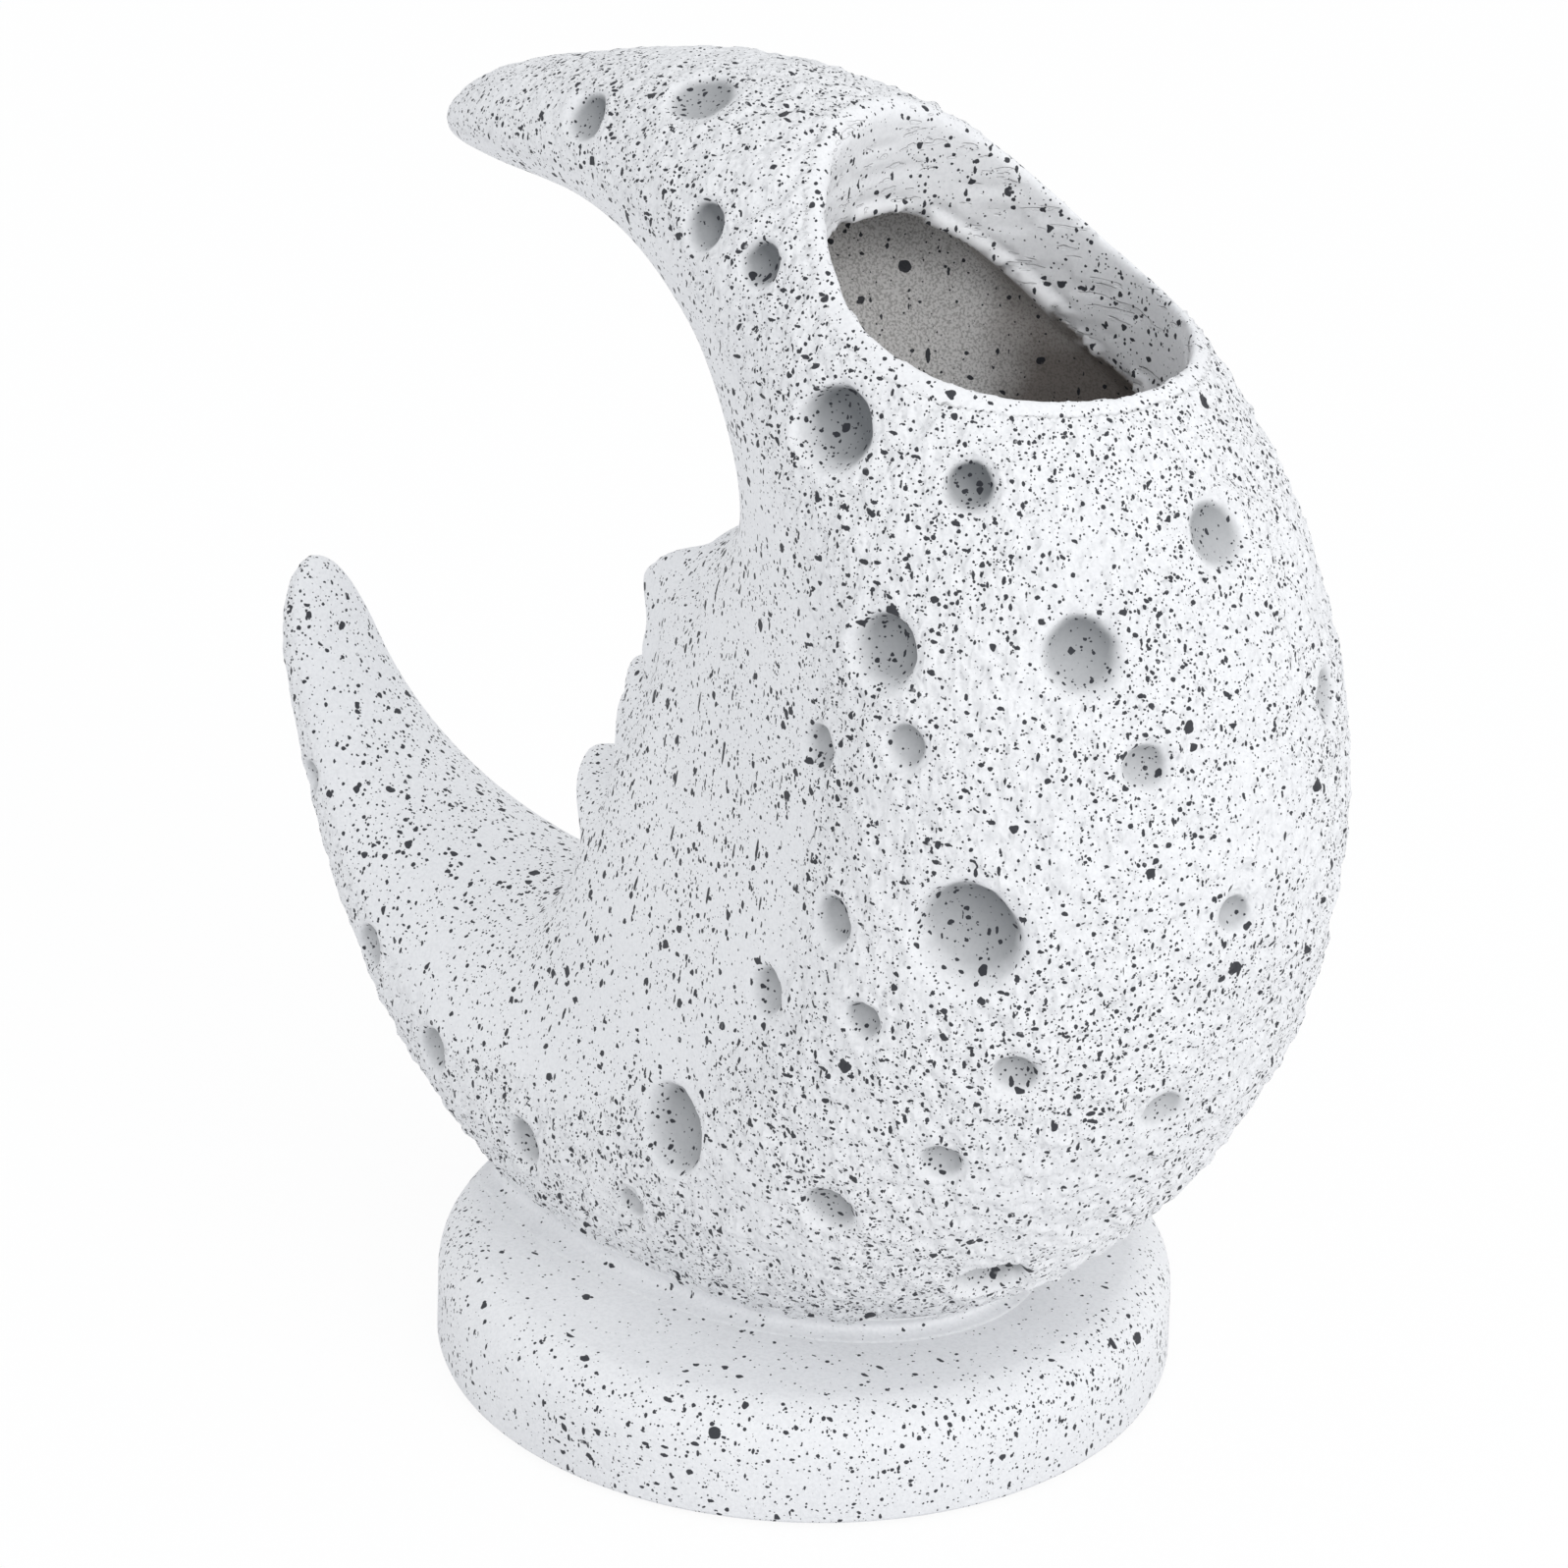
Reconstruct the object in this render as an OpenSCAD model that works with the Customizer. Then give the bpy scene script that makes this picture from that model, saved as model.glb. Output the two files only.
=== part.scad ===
// Crescent moon planter in cast resin, on a round plinth.
// The frame: +Z up, the horns and the face point to -X, the ridge with the planting mouth to +X.
// The origin is the centre of the foot ring's underside.

/* [Plinth] */
// Radius of the plinth
plinth_r = 80; // [72:0.5:95]
// Height of the plinth's top over the ground
plinth_h = 26; // [20:0.5:36]
// Radius of the rounded top edge
plinth_edge_r = 10.5; // [4:0.5:14]
// Bevel of the bottom edge
plinth_bevel = 1.2; // [0.4:0.2:3]
// Radius of the recess in the underside
recess_r = 48; // [30:0.5:50]
// Depth of the recess in the underside
recess_d = 7; // [5:0.5:10]

/* [Moon] */
// Radius of the crescent's outer circle, seen from the side
moon_r = 135; // [120:0.5:150]
// How far the outer circle's centre stands off the plinth's axis, towards the horns
moon_off = 18; // [8:0.5:24]
// How far the outer circle reaches down into the plinth
moon_sink = 16; // [12:0.5:18]
// Radius of the round hollow that leaves the crescent
hollow_r = 82; // [74:0.5:88]
// How far the hollow's centre lies from the outer circle's centre, towards the horns
hollow_off = 58.5; // [52:0.5:66]
// How far the hollow's centre lies above the outer circle's centre
hollow_rise = 23; // [15:0.5:30]
// Half of the moon's width from side to side, at its thickest
moon_half_w = 62; // [52:0.5:70]
// Thickness that the lower horn keeps at its tip
low_tip_t = 15.5; // [10:0.5:20]
// Thickness that the upper horn keeps at its tip
high_tip_t = 18; // [10:0.5:22]
// Direction of the lower horn's tip, seen from the hollow's centre
low_tip_angle = -158; // [-165:1:-150]
// Direction of the upper horn's tip, seen from the hollow's centre
high_tip_angle = 113; // [105:1:118]
// How fast the moon narrows sideways with its thickness
swell_share = 0.81; // [0.6:0.01:1]

/* [Planting mouth] */
// Radius of the round mouth
mouth_r = 37.3; // [30:0.1:40]
// How far the mouth's centre stands off the outer circle's centre, towards the ridge
mouth_off = 45; // [40:0.5:50]
// Lean of the mouth's axis from upright
mouth_lean = 8; // [0:1:14]
// Depth of the collar that turns in from the rim
collar_d = 23.5; // [18:0.5:28]
// Thickness of the collar
collar_t = 8; // [5:0.5:10]
// Thickness of the cast wall
wall = 8; // [6:0.5:10]
// Thickness of the floor over the plinth
floor_t = 10; // [6:0.5:14]

/* [Face] */
// How far the face stands out of the crescent's hollow side
face_depth = 51; // [40:0.5:54]
// Height of the face from the chin to the root of the nose
face_h = 89; // [80:0.5:96]
// How far the chin lies under the hollow's centre
chin_drop = 58; // [54:0.5:62]
// How far the chin lies behind the hollow's centre
chin_in = 4.5; // [2:0.5:8]
// Lean of the face from upright
face_lean = 31.3; // [26:0.1:36]
// Height of the nose and the chin over the face
nose_h = 10; // [6:0.5:12]
// Height of the lips, the lids and the other soft features
feature_h = 4; // [2:0.5:6]

/* [Craters] */
// Radius of the largest crater
crater_r = 10.5; // [7:0.5:12]
// Depth of the deepest crater
crater_d = 5; // [3:0.5:7]

/* [Drain and foot] */
// Radius of the drain bore
drain_r = 6; // [4:0.1:8]
// Clearance round the plug's stem
plug_clear = 0.05; // [0.02:0.01:0.1]
// Length of the plug's stem
plug_l = 13; // [8:0.5:16]
// Radius of the plug's flange
plug_flange_r = 9.5; // [9:0.5:12]
// Thickness of the plug's flange
plug_flange_t = 2.2; // [1.5:0.1:3]
// Radius of the plug's pull knob
plug_knob_r = 3; // [2:0.1:4]
// Length of the pull knob
plug_knob_l = 2.4; // [1.5:0.1:2.6]
// Outer radius of the foot ring
foot_r = 73; // [68:0.5:75]
// Width of the foot ring
foot_w = 14; // [8:0.5:16]
// Thickness of the foot ring
foot_t = 2; // [1.5:0.1:3]
// How far the foot ring stands out of its groove
foot_proud = 0.8; // [0.5:0.1:1.2]
// Radius of the bond's fillet at the moon's foot
bond_r = 5; // [3:0.5:7]
// Clearance over the plinth's rounded edge
edge_clear = 0.3; // [0.1:0.05:0.5]

/* [Hidden] */
$fn = 96;
// One overrun for all cuts
over = 1;
// Heights in the plinth
under_z = foot_proud;
recess_z = under_z + recess_d;
floor_z = plinth_h + floor_t;
// Centre of the outer circle, and of the hollow, where the sections fan out from
moon_rise = moon_r - moon_sink;
moon_x = -moon_off;
moon_z = plinth_h + moon_rise;
hub_x = moon_x - hollow_off;
hub_z = moon_z + hollow_rise;
// Length of the rounded ends, as an angle at the hollow's centre
tip_angle = 12.5;
// The drain hole in the moon's floor is wider than the bore under it
moon_drain_r = drain_r + edge_clear;
// Clearance at the foot ring's two edges in its groove
foot_clear = plug_clear;

// Sections of the crescent, by the angle a at the hollow's centre
function reach(a) =
    let (b = hollow_rise * sin(a) - hollow_off * cos(a),
         c = pow(hollow_off, 2) + pow(hollow_rise, 2) - pow(moon_r, 2))
    sqrt(b * b - c) - b;
function tip_t(a) =
    low_tip_t + (high_tip_t - low_tip_t) * (a - low_tip_angle) / (high_tip_angle - low_tip_angle);
function full_t(a) = sqrt(pow(max(0, reach(a) - hollow_r), 2) + pow(tip_t(a), 2));
most_t = max([for (a = [low_tip_angle : 2 : high_tip_angle]) full_t(a)]);
function dome(e) = e >= 1 ? 1 : sqrt(max(0, 1 - pow(1 - e, 2)));
function tip_cap(a) = dome(min(a - low_tip_angle, high_tip_angle - a) / tip_angle);
function mid_r(a) = (reach(a) + hollow_r) / 2;
function half_t(a) = full_t(a) / 2 * tip_cap(a);
function half_w(a) = moon_half_w * pow(full_t(a) / most_t, swell_share) * tip_cap(a);
function spot(a, radius, y) = [hub_x + radius * cos(a), y, hub_z + radius * sin(a)];

function ramp(x, lo, hi) = let (t = min(1, max(0, (x - lo) / (hi - lo)))) t * t * (3 - 2 * t);

// The face's ground, a wedge of soft section: angle and how far it stands out, as a share of the
// face's depth
profile_shares = [[-84, 0], [-81, 0.02], [-76, 0.17], [-70, 0.4], [-63, 0.63], [-55, 0.77],
    [-46, 0.86], [-36, 0.92], [-25, 0.89], [-12, 0.9], [-2, 0.84], [5, 0.755], [12, 0.63],
    [19, 0.43], [27, 0.27], [36, 0.12], [45, 0]];
// Half of the span over which the profile is evened out
blend_angle = 2.5;
function face_at(a) =
    total([for (k = [-2 : 2]) lookup(a + k / 2 * blend_angle, profile_shares)]) / 5;
wedge_power = 1.4;
wedge_round = 0.8;
function wedge(share) = pow(max(0, 1 - pow(abs(share), wedge_power)), wedge_round);
function tube(share) = sqrt(max(0, 1 - share * share));
function total(list, i = 0) = i >= len(list) ? 0 : list[i] + total(list, i + 1);
function inner_depth(a, share) =
    let (e = face_at(a))
    half_t(a) * tube(share) * (1 - e) + (half_t(a) + face_depth) * e * wedge(share);

// Features over the face's ground: place up from the chin and its spread, place aside of the
// midline and its spread, all as shares of the face's height, and the feature's height as a share
nose_shares = [
    // tip and bridge of the nose, and its wings
    [0.64, 0.073, 0, 0.079, 0.82], [0.764, 0.096, 0, 0.062, 0.54], [0.579, 0.052, 0.107, 0.047, 0.3],
    // chin and the fold over it
    [0.107, 0.067, 0, 0.146, 0.95], [0.236, 0.051, 0, 0.2, -0.55]];
feature_shares = [
    // upper and lower lip, with the line of the mouth between them
    [0.427, 0.04, 0, 0.124, 0.8], [0.326, 0.043, 0, 0.112, 0.9], [0.379, 0.018, 0, 0.18, -0.5],
    // eye hollows and closed lids
    [0.854, 0.09, 0.236, 0.112, -0.75], [0.843, 0.054, 0.236, 0.084, 1],
    // brows and cheeks
    [0.989, 0.045, 0.213, 0.146, 0.6], [0.562, 0.157, 0.337, 0.124, 0.5]];
function bump(row, up, aside) =
    exp(-pow((up - row[0]) / row[1], 2) - pow((aside - row[2]) / row[3], 2)) * row[4];
function relief(up, aside) =
    nose_h * total([for (row = nose_shares) bump(row, up, aside)])
    + feature_h * total([for (row = feature_shares) bump(row, up, aside)]);
chin_spot = [hub_x + chin_in, 0, hub_z - chin_drop];
face_up = [sin(face_lean), 0, cos(face_lean)];
// Features stand straight out on the midline, and turn aside away from it
function feature_way(y) =
    let (turn = 45 * ramp(abs(y) / face_h, 0.02, 0.22))
    [-cos(face_lean) * cos(turn), sign(y) * sin(turn), sin(face_lean) * cos(turn)];
function face_spot(a, share) =
    let (ground = spot(a, mid_r(a) - inner_depth(a, share), half_w(a) * share),
         middle = spot(a, mid_r(a) - inner_depth(a, 0), 0),
         height = relief((ground - chin_spot) * face_up / face_h, norm(ground - middle) / face_h))
    ground + feature_way(ground[1]) * height * ramp(face_at(a), 0.02, 0.3);

// Steps round a section: the ridge side, then the hollow side, which is finer at its middle
ridge_steps = 14;
hollow_steps = 15;
hollow_shares = [for (k = [-hollow_steps + 1 : hollow_steps - 1])
    sign(k) * sin(90 * pow(abs(k) / hollow_steps, 1.2))];
function section(a) = concat(
    [for (i = [0 : ridge_steps])
        let (t = -90 + 180 * i / ridge_steps)
        spot(a, mid_r(a) + half_t(a) * cos(t), half_w(a) * sin(t))],
    [for (i = [len(hollow_shares) - 1 : -1 : 0]) face_spot(a, hollow_shares[i])]);
// Angles of the sections, from horn to horn, close together over the face and at the tips
function stretch(lo, hi, n) = [for (i = [0 : n - 1]) lo + (hi - lo) * i / n];
section_angles = concat(
    [for (e = [0.02, 0.08, 0.2, 0.4, 0.7]) low_tip_angle + tip_angle * e],
    stretch(low_tip_angle + tip_angle, -90, 8),
    stretch(-90, 46, 40),
    stretch(46, high_tip_angle - tip_angle, 8),
    [for (e = [1, 0.7, 0.4, 0.2, 0.08, 0.02]) high_tip_angle - tip_angle * e]);

// A closed skin over rings of equal length, with a point at each end
module lofted(rings, first, last) {
    n = len(rings[0]);
    m = len(rings);
    points = concat([first], [for (ring = rings) each ring], [last]);
    faces = concat(
        [for (j = [0 : n - 1]) [0, 1 + j, 1 + (j + 1) % n]],
        [for (i = [0 : m - 2], j = [0 : n - 1])
            let (p = 1 + i * n + j, q = 1 + i * n + (j + 1) % n)
            each [[p, q + n, q], [p, p + n, q + n]]],
        [for (j = [0 : n - 1])
            [1 + m * n, 1 + (m - 1) * n + (j + 1) % n, 1 + (m - 1) * n + j]]);
    polyhedron(points, faces, convexity = 6);
}

module moon_form() {
    lofted([for (a = section_angles) section(a)],
        spot(low_tip_angle, mid_r(low_tip_angle), 0), spot(high_tip_angle, mid_r(high_tip_angle), 0));
}

// The space inside the cast wall, between these two angles
cavity_low_angle = -92;
cavity_high_angle = 82;
cavity_end_angle = 24;
// How much of the face's depth is hollow, as a share
face_hollow_share = 0.6;
cavity_sections = 20;
cavity_steps = 24;
function cavity_cap(a) = dome(min(a - cavity_low_angle, cavity_high_angle - a) / cavity_end_angle);
function cavity_depth(a, share) =
    (half_t(a) - wall) * tube(share) + face_hollow_share * face_depth * face_at(a) * wedge(share);
function cavity_ring(a) =
    [for (i = [0 : cavity_steps - 1])
        let (t = 360 * i / cavity_steps, across = cavity_cap(a) * (half_w(a) - wall))
        spot(a, mid_r(a) + cavity_cap(a) * (cos(t) > 0 ? (half_t(a) - wall) * cos(t)
            : -cavity_depth(a, sin(t))), across * sin(t))];
module cavity_form() {
    middle = (cavity_low_angle + cavity_high_angle) / 2;
    half = (cavity_high_angle - cavity_low_angle) / 2;
    lofted([for (i = [1 : cavity_sections - 1]) cavity_ring(middle - half * cos(180 * i / cavity_sections))],
        spot(cavity_low_angle, mid_r(cavity_low_angle), 0),
        spot(cavity_high_angle, mid_r(cavity_high_angle), 0));
}

// The part of an upright column, leaning with the mouth, that lies over the skin sunk by a depth
module mouth_plug(radius, depth) {
    difference() {
        translate([moon_x, 0, moon_z]) rotate([0, mouth_lean, 0]) translate([mouth_off, 0, 0])
            cylinder(r = radius, h = 2 * moon_r, $fn = 64);
        rotate([0, mouth_lean, 0]) translate([0, 0, -depth]) rotate([0, -mouth_lean, 0]) moon_form();
        translate([hub_x, 0, hub_z]) rotate([90, 0, 0])
            cylinder(r = hollow_r + wall, h = 2 * moon_half_w, center = true);
    }
}

module cavity() {
    difference() {
        cavity_form();
        mouth_plug(mouth_r + collar_t, collar_d);
        translate([-2 * moon_r, -moon_r, 0]) cube([4 * moon_r, 2 * moon_r, floor_z]);
    }
}

// Craters: angle, turn from the ridge (negative on the far side), radius and depth as shares
// of the largest ones
crater_shares = [
    // near side, upper horn
    [75, 67, 0.5, 0.6], [64, 35, 0.62, 0.4], [52, 81, 0.48, 0.6], [45, 74, 0.43, 0.6],
    [29, 80, 0.82, 0.8], [22, 54, 0.48, 0.6],
    // near side, middle
    [15, 4, 0.62, 0.4], [11, 84, 0.7, 0.9], [10, 42, 0.75, 0.5], [1, 107, 0.46, 0.6],
    [4, 81, 0.42, 0.5], [3, 33, 0.46, 0.6], [-13, 96, 0.5, 0.7], [-9, 67, 1, 1],
    [-25, 107, 0.5, 0.6], [-19, 83, 0.4, 0.6], [-18, 52, 0.43, 0.5], [-7, 14, 0.38, 0.5],
    // near side, low
    [-47, 99, 0.92, 0.9], [-27, 57, 0.43, 0.5], [-58, 82, 0.34, 0.5], [-37, 67, 0.52, 0.7],
    [-38, 27, 0.76, 0.8], [-20, 20, 0.48, 0.4], [-73, 89, 0.5, 0.6], [-90, 90, 0.48, 0.6],
    [-106, 86, 0.46, 0.5], [-129, 75, 0.4, 0.5],
    // far side
    [3, -20, 0.56, 0.4], [84, -72, 0.42, 0.5], [70, -58, 0.6, 0.6], [57, -84, 0.46, 0.6],
    [43, -82, 0.5, 0.7], [31, -92, 0.44, 0.6], [24, -44, 0.5, 0.4], [14, -76, 0.86, 0.9],
    [6, -52, 0.44, 0.5], [-4, -98, 0.5, 0.6], [-12, -34, 0.66, 0.5], [-14, -72, 0.46, 0.6],
    [-26, -88, 0.95, 1], [-30, -54, 0.52, 0.6], [-34, -12, 0.5, 0.4], [-44, -74, 0.46, 0.6],
    [-50, -40, 0.8, 0.7], [-60, -94, 0.5, 0.6], [-66, -66, 0.4, 0.5], [-80, -84, 0.6, 0.7],
    [-98, -78, 0.44, 0.5], [-118, -86, 0.5, 0.6]];
// A crater's wall: radius and height of its mouth, and radius of its floor, as shares of its radius
crater_mouth_share = 1.24;
crater_lift_share = 0.32;
crater_floor_share = 0.58;
module crater(a, turn, radius, depth) {
    normal = let (along = cos(turn) / half_t(a), across = -sin(turn) / half_w(a))
        [along * cos(a), across, along * sin(a)];
    translate(spot(a, mid_r(a) + half_t(a) * cos(turn), -half_w(a) * sin(turn)))
        rotate([0, acos(normal[2] / norm(normal)), atan2(normal[1], normal[0])])
        hull() {
            translate([0, 0, crater_lift_share * radius])
                cylinder(r = crater_mouth_share * radius, h = over, $fn = 12);
            translate([0, 0, -depth])
                cylinder(r = crater_floor_share * radius, h = depth / 2, $fn = 12);
        }
}

// The plinth's outline from the axis out, grown by a clearance over its top edge
module plinth_outline(grow) {
    edge_x = plinth_r - plinth_edge_r;
    edge_z = plinth_h - plinth_edge_r;
    translate([0, under_z + plinth_bevel])
        square([plinth_r + grow, edge_z - under_z - plinth_bevel]);
    polygon([[0, under_z], [plinth_r - plinth_bevel, under_z],
        [plinth_r, under_z + plinth_bevel], [0, under_z + plinth_bevel]]);
    translate([0, under_z]) square([edge_x, plinth_h - under_z]);
    intersection() {
        translate([edge_x, edge_z]) circle(r = plinth_edge_r + grow);
        translate([edge_x, edge_z - over]) square([plinth_r, plinth_edge_r + grow + over]);
    }
}

// The crescent as it was cast: skin, hollow, mouth, drain and the seat on the plinth
module moon_shell() {
    color("gainsboro") difference() {
        moon_form();
        cavity();
        mouth_plug(mouth_r, collar_d + over);
        for (row = crater_shares)
            crater(row[0], row[1], row[2] * crater_r, row[3] * crater_d);
        rotate_extrude() plinth_outline(edge_clear);
        cylinder(r = moon_drain_r, h = floor_z + over, $fn = 24);
    }
}

module base_plinth() {
    color("silver") difference() {
        rotate_extrude() plinth_outline(0);
        translate([0, 0, under_z - over]) cylinder(r = recess_r, h = recess_d + over);
        translate([0, 0, under_z - over]) cylinder(r = drain_r, h = plinth_h + over);
        translate([0, 0, under_z - over]) difference() {
            cylinder(r = foot_r, h = foot_t - foot_proud + over);
            translate([0, 0, -over]) cylinder(r = foot_r - foot_w, h = foot_t + 3 * over);
        }
    }
}

// A cove of filler in the wedge between the moon's foot and the plinth's top
bond_layers = 9;
bond_clip_r = plinth_r - plinth_edge_r / 2;
// Where the outer circle meets the plinth's top, and the foot's half width there
foot_reach = sqrt(pow(moon_r, 2) - pow(moon_rise, 2));
foot_half_w = moon_half_w * sqrt(1 - pow(1 - (moon_r - moon_rise) / half_t(-90), 2));
module bond_layer(share) {
    flare = bond_r * (1 - sqrt(1 - pow(1 - share, 2)));
    translate([moon_x, 0, plinth_h + bond_r * share - (share == 0 ? over : 0)])
        linear_extrude(over / 10)
        polygon([for (t = [0 : 7.5 : 352.5])
            [(foot_reach + flare) * cos(t), (foot_half_w + flare) * sin(t)]]);
}
module foot_bond() {
    color("lightgray") difference() {
        intersection() {
            for (i = [0 : bond_layers - 1])
                hull() {
                    bond_layer(i / bond_layers);
                    bond_layer((i + 1) / bond_layers);
                }
            cylinder(r = bond_clip_r, h = plinth_h + bond_r);
        }
        moon_form();
        rotate_extrude() plinth_outline(edge_clear);
    }
}

module drain_plug() {
    color("dimgray") translate([0, 0, recess_z]) {
        cylinder(r = drain_r - plug_clear, h = plug_l);
        translate([0, 0, -plug_flange_t]) cylinder(r = plug_flange_r, h = plug_flange_t);
        translate([0, 0, -plug_flange_t - plug_knob_l]) cylinder(r = plug_knob_r, h = plug_knob_l);
    }
}

module foot_ring() {
    color("dimgray") difference() {
        cylinder(r = foot_r - foot_clear, h = foot_t);
        translate([0, 0, -over]) cylinder(r = foot_r - foot_w + foot_clear, h = foot_t + 2 * over);
    }
}

moon_shell();
base_plinth();
foot_bond();
drain_plug();
foot_ring();
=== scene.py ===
# Crescent moon planter in speckled cast resin: a smooth face on the hollow side, craters and a
# stone-like skin on the flanks, a round planting mouth in the back, and a smooth round plinth.
import math

import bpy
import numpy as np
from mathutils import Matrix, Vector


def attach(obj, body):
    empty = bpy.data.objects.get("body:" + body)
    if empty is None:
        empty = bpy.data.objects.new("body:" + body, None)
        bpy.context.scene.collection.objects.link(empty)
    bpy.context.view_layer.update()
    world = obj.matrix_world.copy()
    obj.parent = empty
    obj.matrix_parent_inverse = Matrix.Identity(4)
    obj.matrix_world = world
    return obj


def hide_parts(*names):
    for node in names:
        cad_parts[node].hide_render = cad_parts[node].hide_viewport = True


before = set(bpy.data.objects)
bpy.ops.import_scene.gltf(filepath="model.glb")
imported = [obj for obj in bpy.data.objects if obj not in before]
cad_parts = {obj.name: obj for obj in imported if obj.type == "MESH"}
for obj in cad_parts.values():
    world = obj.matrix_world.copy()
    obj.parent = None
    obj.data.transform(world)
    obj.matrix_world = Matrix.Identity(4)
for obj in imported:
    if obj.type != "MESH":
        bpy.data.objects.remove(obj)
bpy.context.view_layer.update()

MM = 0.001

# The photograph's view: all distances in millimetres, angles in degrees
PHOTO_PX = 1597
VIEW_TURN = 39.6
VIEW_RISE = 22.75
VIEW_ROLL = 2.04
VIEW_AIM_Z = 160
VIEW_DISTANCE = 985
AIM_PX = (842.2, 666.3)
PX_PER_MM = 4.931
SENSOR = 36
NEAR_CLIP = 50
FAR_CLIP = 20000

# Plinth
PLINTH_R = 80
PLINTH_H = 26
EDGE_R = 10.5
BEVEL = 1.2
RECESS_R = 48
RECESS_D = 7
RECESS_BEVEL = 1.5
DRAIN_R = 6
DRAIN_BEVEL = 0.6
FOOT_R = 73
FOOT_W = 14
FOOT_T = 2
FOOT_PROUD = 0.8
PLUG_CLEAR = 0.05
PLUG_L = 13
PLUG_FLANGE_R = 9.5
PLUG_FLANGE_T = 2.2
PLUG_KNOB_R = 3
PLUG_KNOB_L = 2.4
PLUG_NECK_R = 2.3
PLUG_GROOVES = 3
PLUG_GROOVE_D = 0.5
PLUG_GROOVE_PITCH = 2.6
# The bung's outline ends this close to its axis
AXIS_R = 0.02

# Moon
MOON_R = 135
MOON_OFF = 18
MOON_SINK = 16
HOLLOW_R = 82
HOLLOW_OFF = 58.5
HOLLOW_RISE = 23
MOON_HALF_W = 62
LOW_TIP_T = 14.8
HIGH_TIP_T = 19.3
LOW_TIP = -159.2
HIGH_TIP = 109.8
LOW_TIP_ANGLE = 15.2
HIGH_TIP_ANGLE = 18.2
# The upper horn's tip turns outwards a little
TIP_LIFT = 5.6
LIFT_FROM = 83
LIFT_TO = 113
SWELL = 0.81
WALL = 8
FLOOR_T = 10

# Planting mouth
MOUTH_R = 37.3
MOUTH_OFF = 45
MOUTH_LEAN = 8
COLLAR_D = 23.5
COLLAR_T = 8

# Face
FACE_DEPTH = 51
FACE_HOLLOW_SHARE = 0.6
WEDGE_POWER = 1.4
WEDGE_ROUND = 0.8
CHIN_DROP = 58
CHIN_IN = 4.5
FACE_LEAN = 31.3

MOON_X = -MOON_OFF
MOON_Z = PLINTH_H + MOON_R - MOON_SINK
HUB_X = MOON_X - HOLLOW_OFF
HUB_Z = MOON_Z + HOLLOW_RISE
ASIDE = np.array([0, 1.0, 0])
# Stands for a distance at the places where it isn't measured
FAR = 1000.0
# Keeps a divisor off zero
TINY = 1e-3


def add_camera():
    turn, rise = math.radians(VIEW_TURN), math.radians(VIEW_RISE)
    back = Vector((math.sin(turn) * math.cos(rise), -math.cos(turn) * math.cos(rise), math.sin(rise)))
    data = bpy.data.cameras.new("photo_camera")
    data.sensor_width = SENSOR
    data.lens = PX_PER_MM * VIEW_DISTANCE / PHOTO_PX * SENSOR
    data.shift_x = (PHOTO_PX / 2 - AIM_PX[0]) / PHOTO_PX
    data.shift_y = (AIM_PX[1] - PHOTO_PX / 2) / PHOTO_PX
    data.clip_start = NEAR_CLIP * MM
    data.clip_end = FAR_CLIP * MM
    camera = bpy.data.objects.new("photo_camera", data)
    bpy.context.scene.collection.objects.link(camera)
    camera.rotation_mode = "QUATERNION"
    upright = (-back).to_track_quat("-Z", "Y")
    rolled = upright.to_matrix() @ Matrix.Rotation(math.radians(VIEW_ROLL), 3, "Z")
    camera.rotation_quaternion = rolled.to_quaternion()
    camera.location = (Vector((0, 0, VIEW_AIM_Z)) + back * VIEW_DISTANCE) * MM
    bpy.context.scene.camera = camera


# Sections of the crescent, by the angle at the hollow's centre, in degrees

def cosd(a):
    return np.cos(np.radians(a))


def sind(a):
    return np.sin(np.radians(a))


def ramp(x, low, high):
    t = np.clip((x - low) / (high - low), 0, 1)
    return t * t * (3 - 2 * t)


def reach(a):
    """Distance from the hollow's centre out to the moon's outer circle."""
    b = HOLLOW_RISE * sind(a) - HOLLOW_OFF * cosd(a)
    c = HOLLOW_OFF ** 2 + HOLLOW_RISE ** 2 - MOON_R ** 2
    return np.sqrt(b * b - c) - b


def full_t(a):
    """Thickness from the inner circle to the outer one, but no less than a tip's."""
    tip = LOW_TIP_T + (HIGH_TIP_T - LOW_TIP_T) * (a - LOW_TIP) / (HIGH_TIP - LOW_TIP)
    return np.hypot(np.maximum(0, reach(a) - HOLLOW_R), tip)


MOST_T = float(full_t(np.linspace(LOW_TIP, HIGH_TIP, 500)).max())


def dome(e):
    return np.sqrt(np.maximum(0, 1 - (1 - np.clip(e, 0, 1)) ** 2))


def tip_cap(a):
    return dome(np.minimum((a - LOW_TIP) / LOW_TIP_ANGLE, (HIGH_TIP - a) / HIGH_TIP_ANGLE))


def mid_r(a):
    """Radius at which the middle of a section lies."""
    return (reach(a) + HOLLOW_R) / 2 + TIP_LIFT * ramp(a, LIFT_FROM, LIFT_TO)


def half_t(a):
    return full_t(a) / 2 * tip_cap(a)


def half_w(a):
    return MOON_HALF_W * (full_t(a) / MOST_T) ** SWELL * tip_cap(a)


def spot(a, radius, y):
    """A place by angle and radius about the hollow's centre, and by its distance aside."""
    return np.stack([HUB_X + radius * cosd(a), y + 0 * a, HUB_Z + radius * sind(a)], -1)


# How far the face's smooth ground stands out of the hollow side: angles and shares of its depth
PROFILE_SHARES = (
    (-84, 0), (-81, 0.02), (-76, 0.17), (-70, 0.4), (-63, 0.627), (-55, 0.779), (-46, 0.889),
    (-36, 0.873), (-25, 0.891), (-12, 0.934), (-2, 0.92), (5, 0.737), (12, 0.641), (19, 0.335),
    (27, 0.207), (36, 0.12), (45, 0))
BLEND_ANGLE = 2.5


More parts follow.
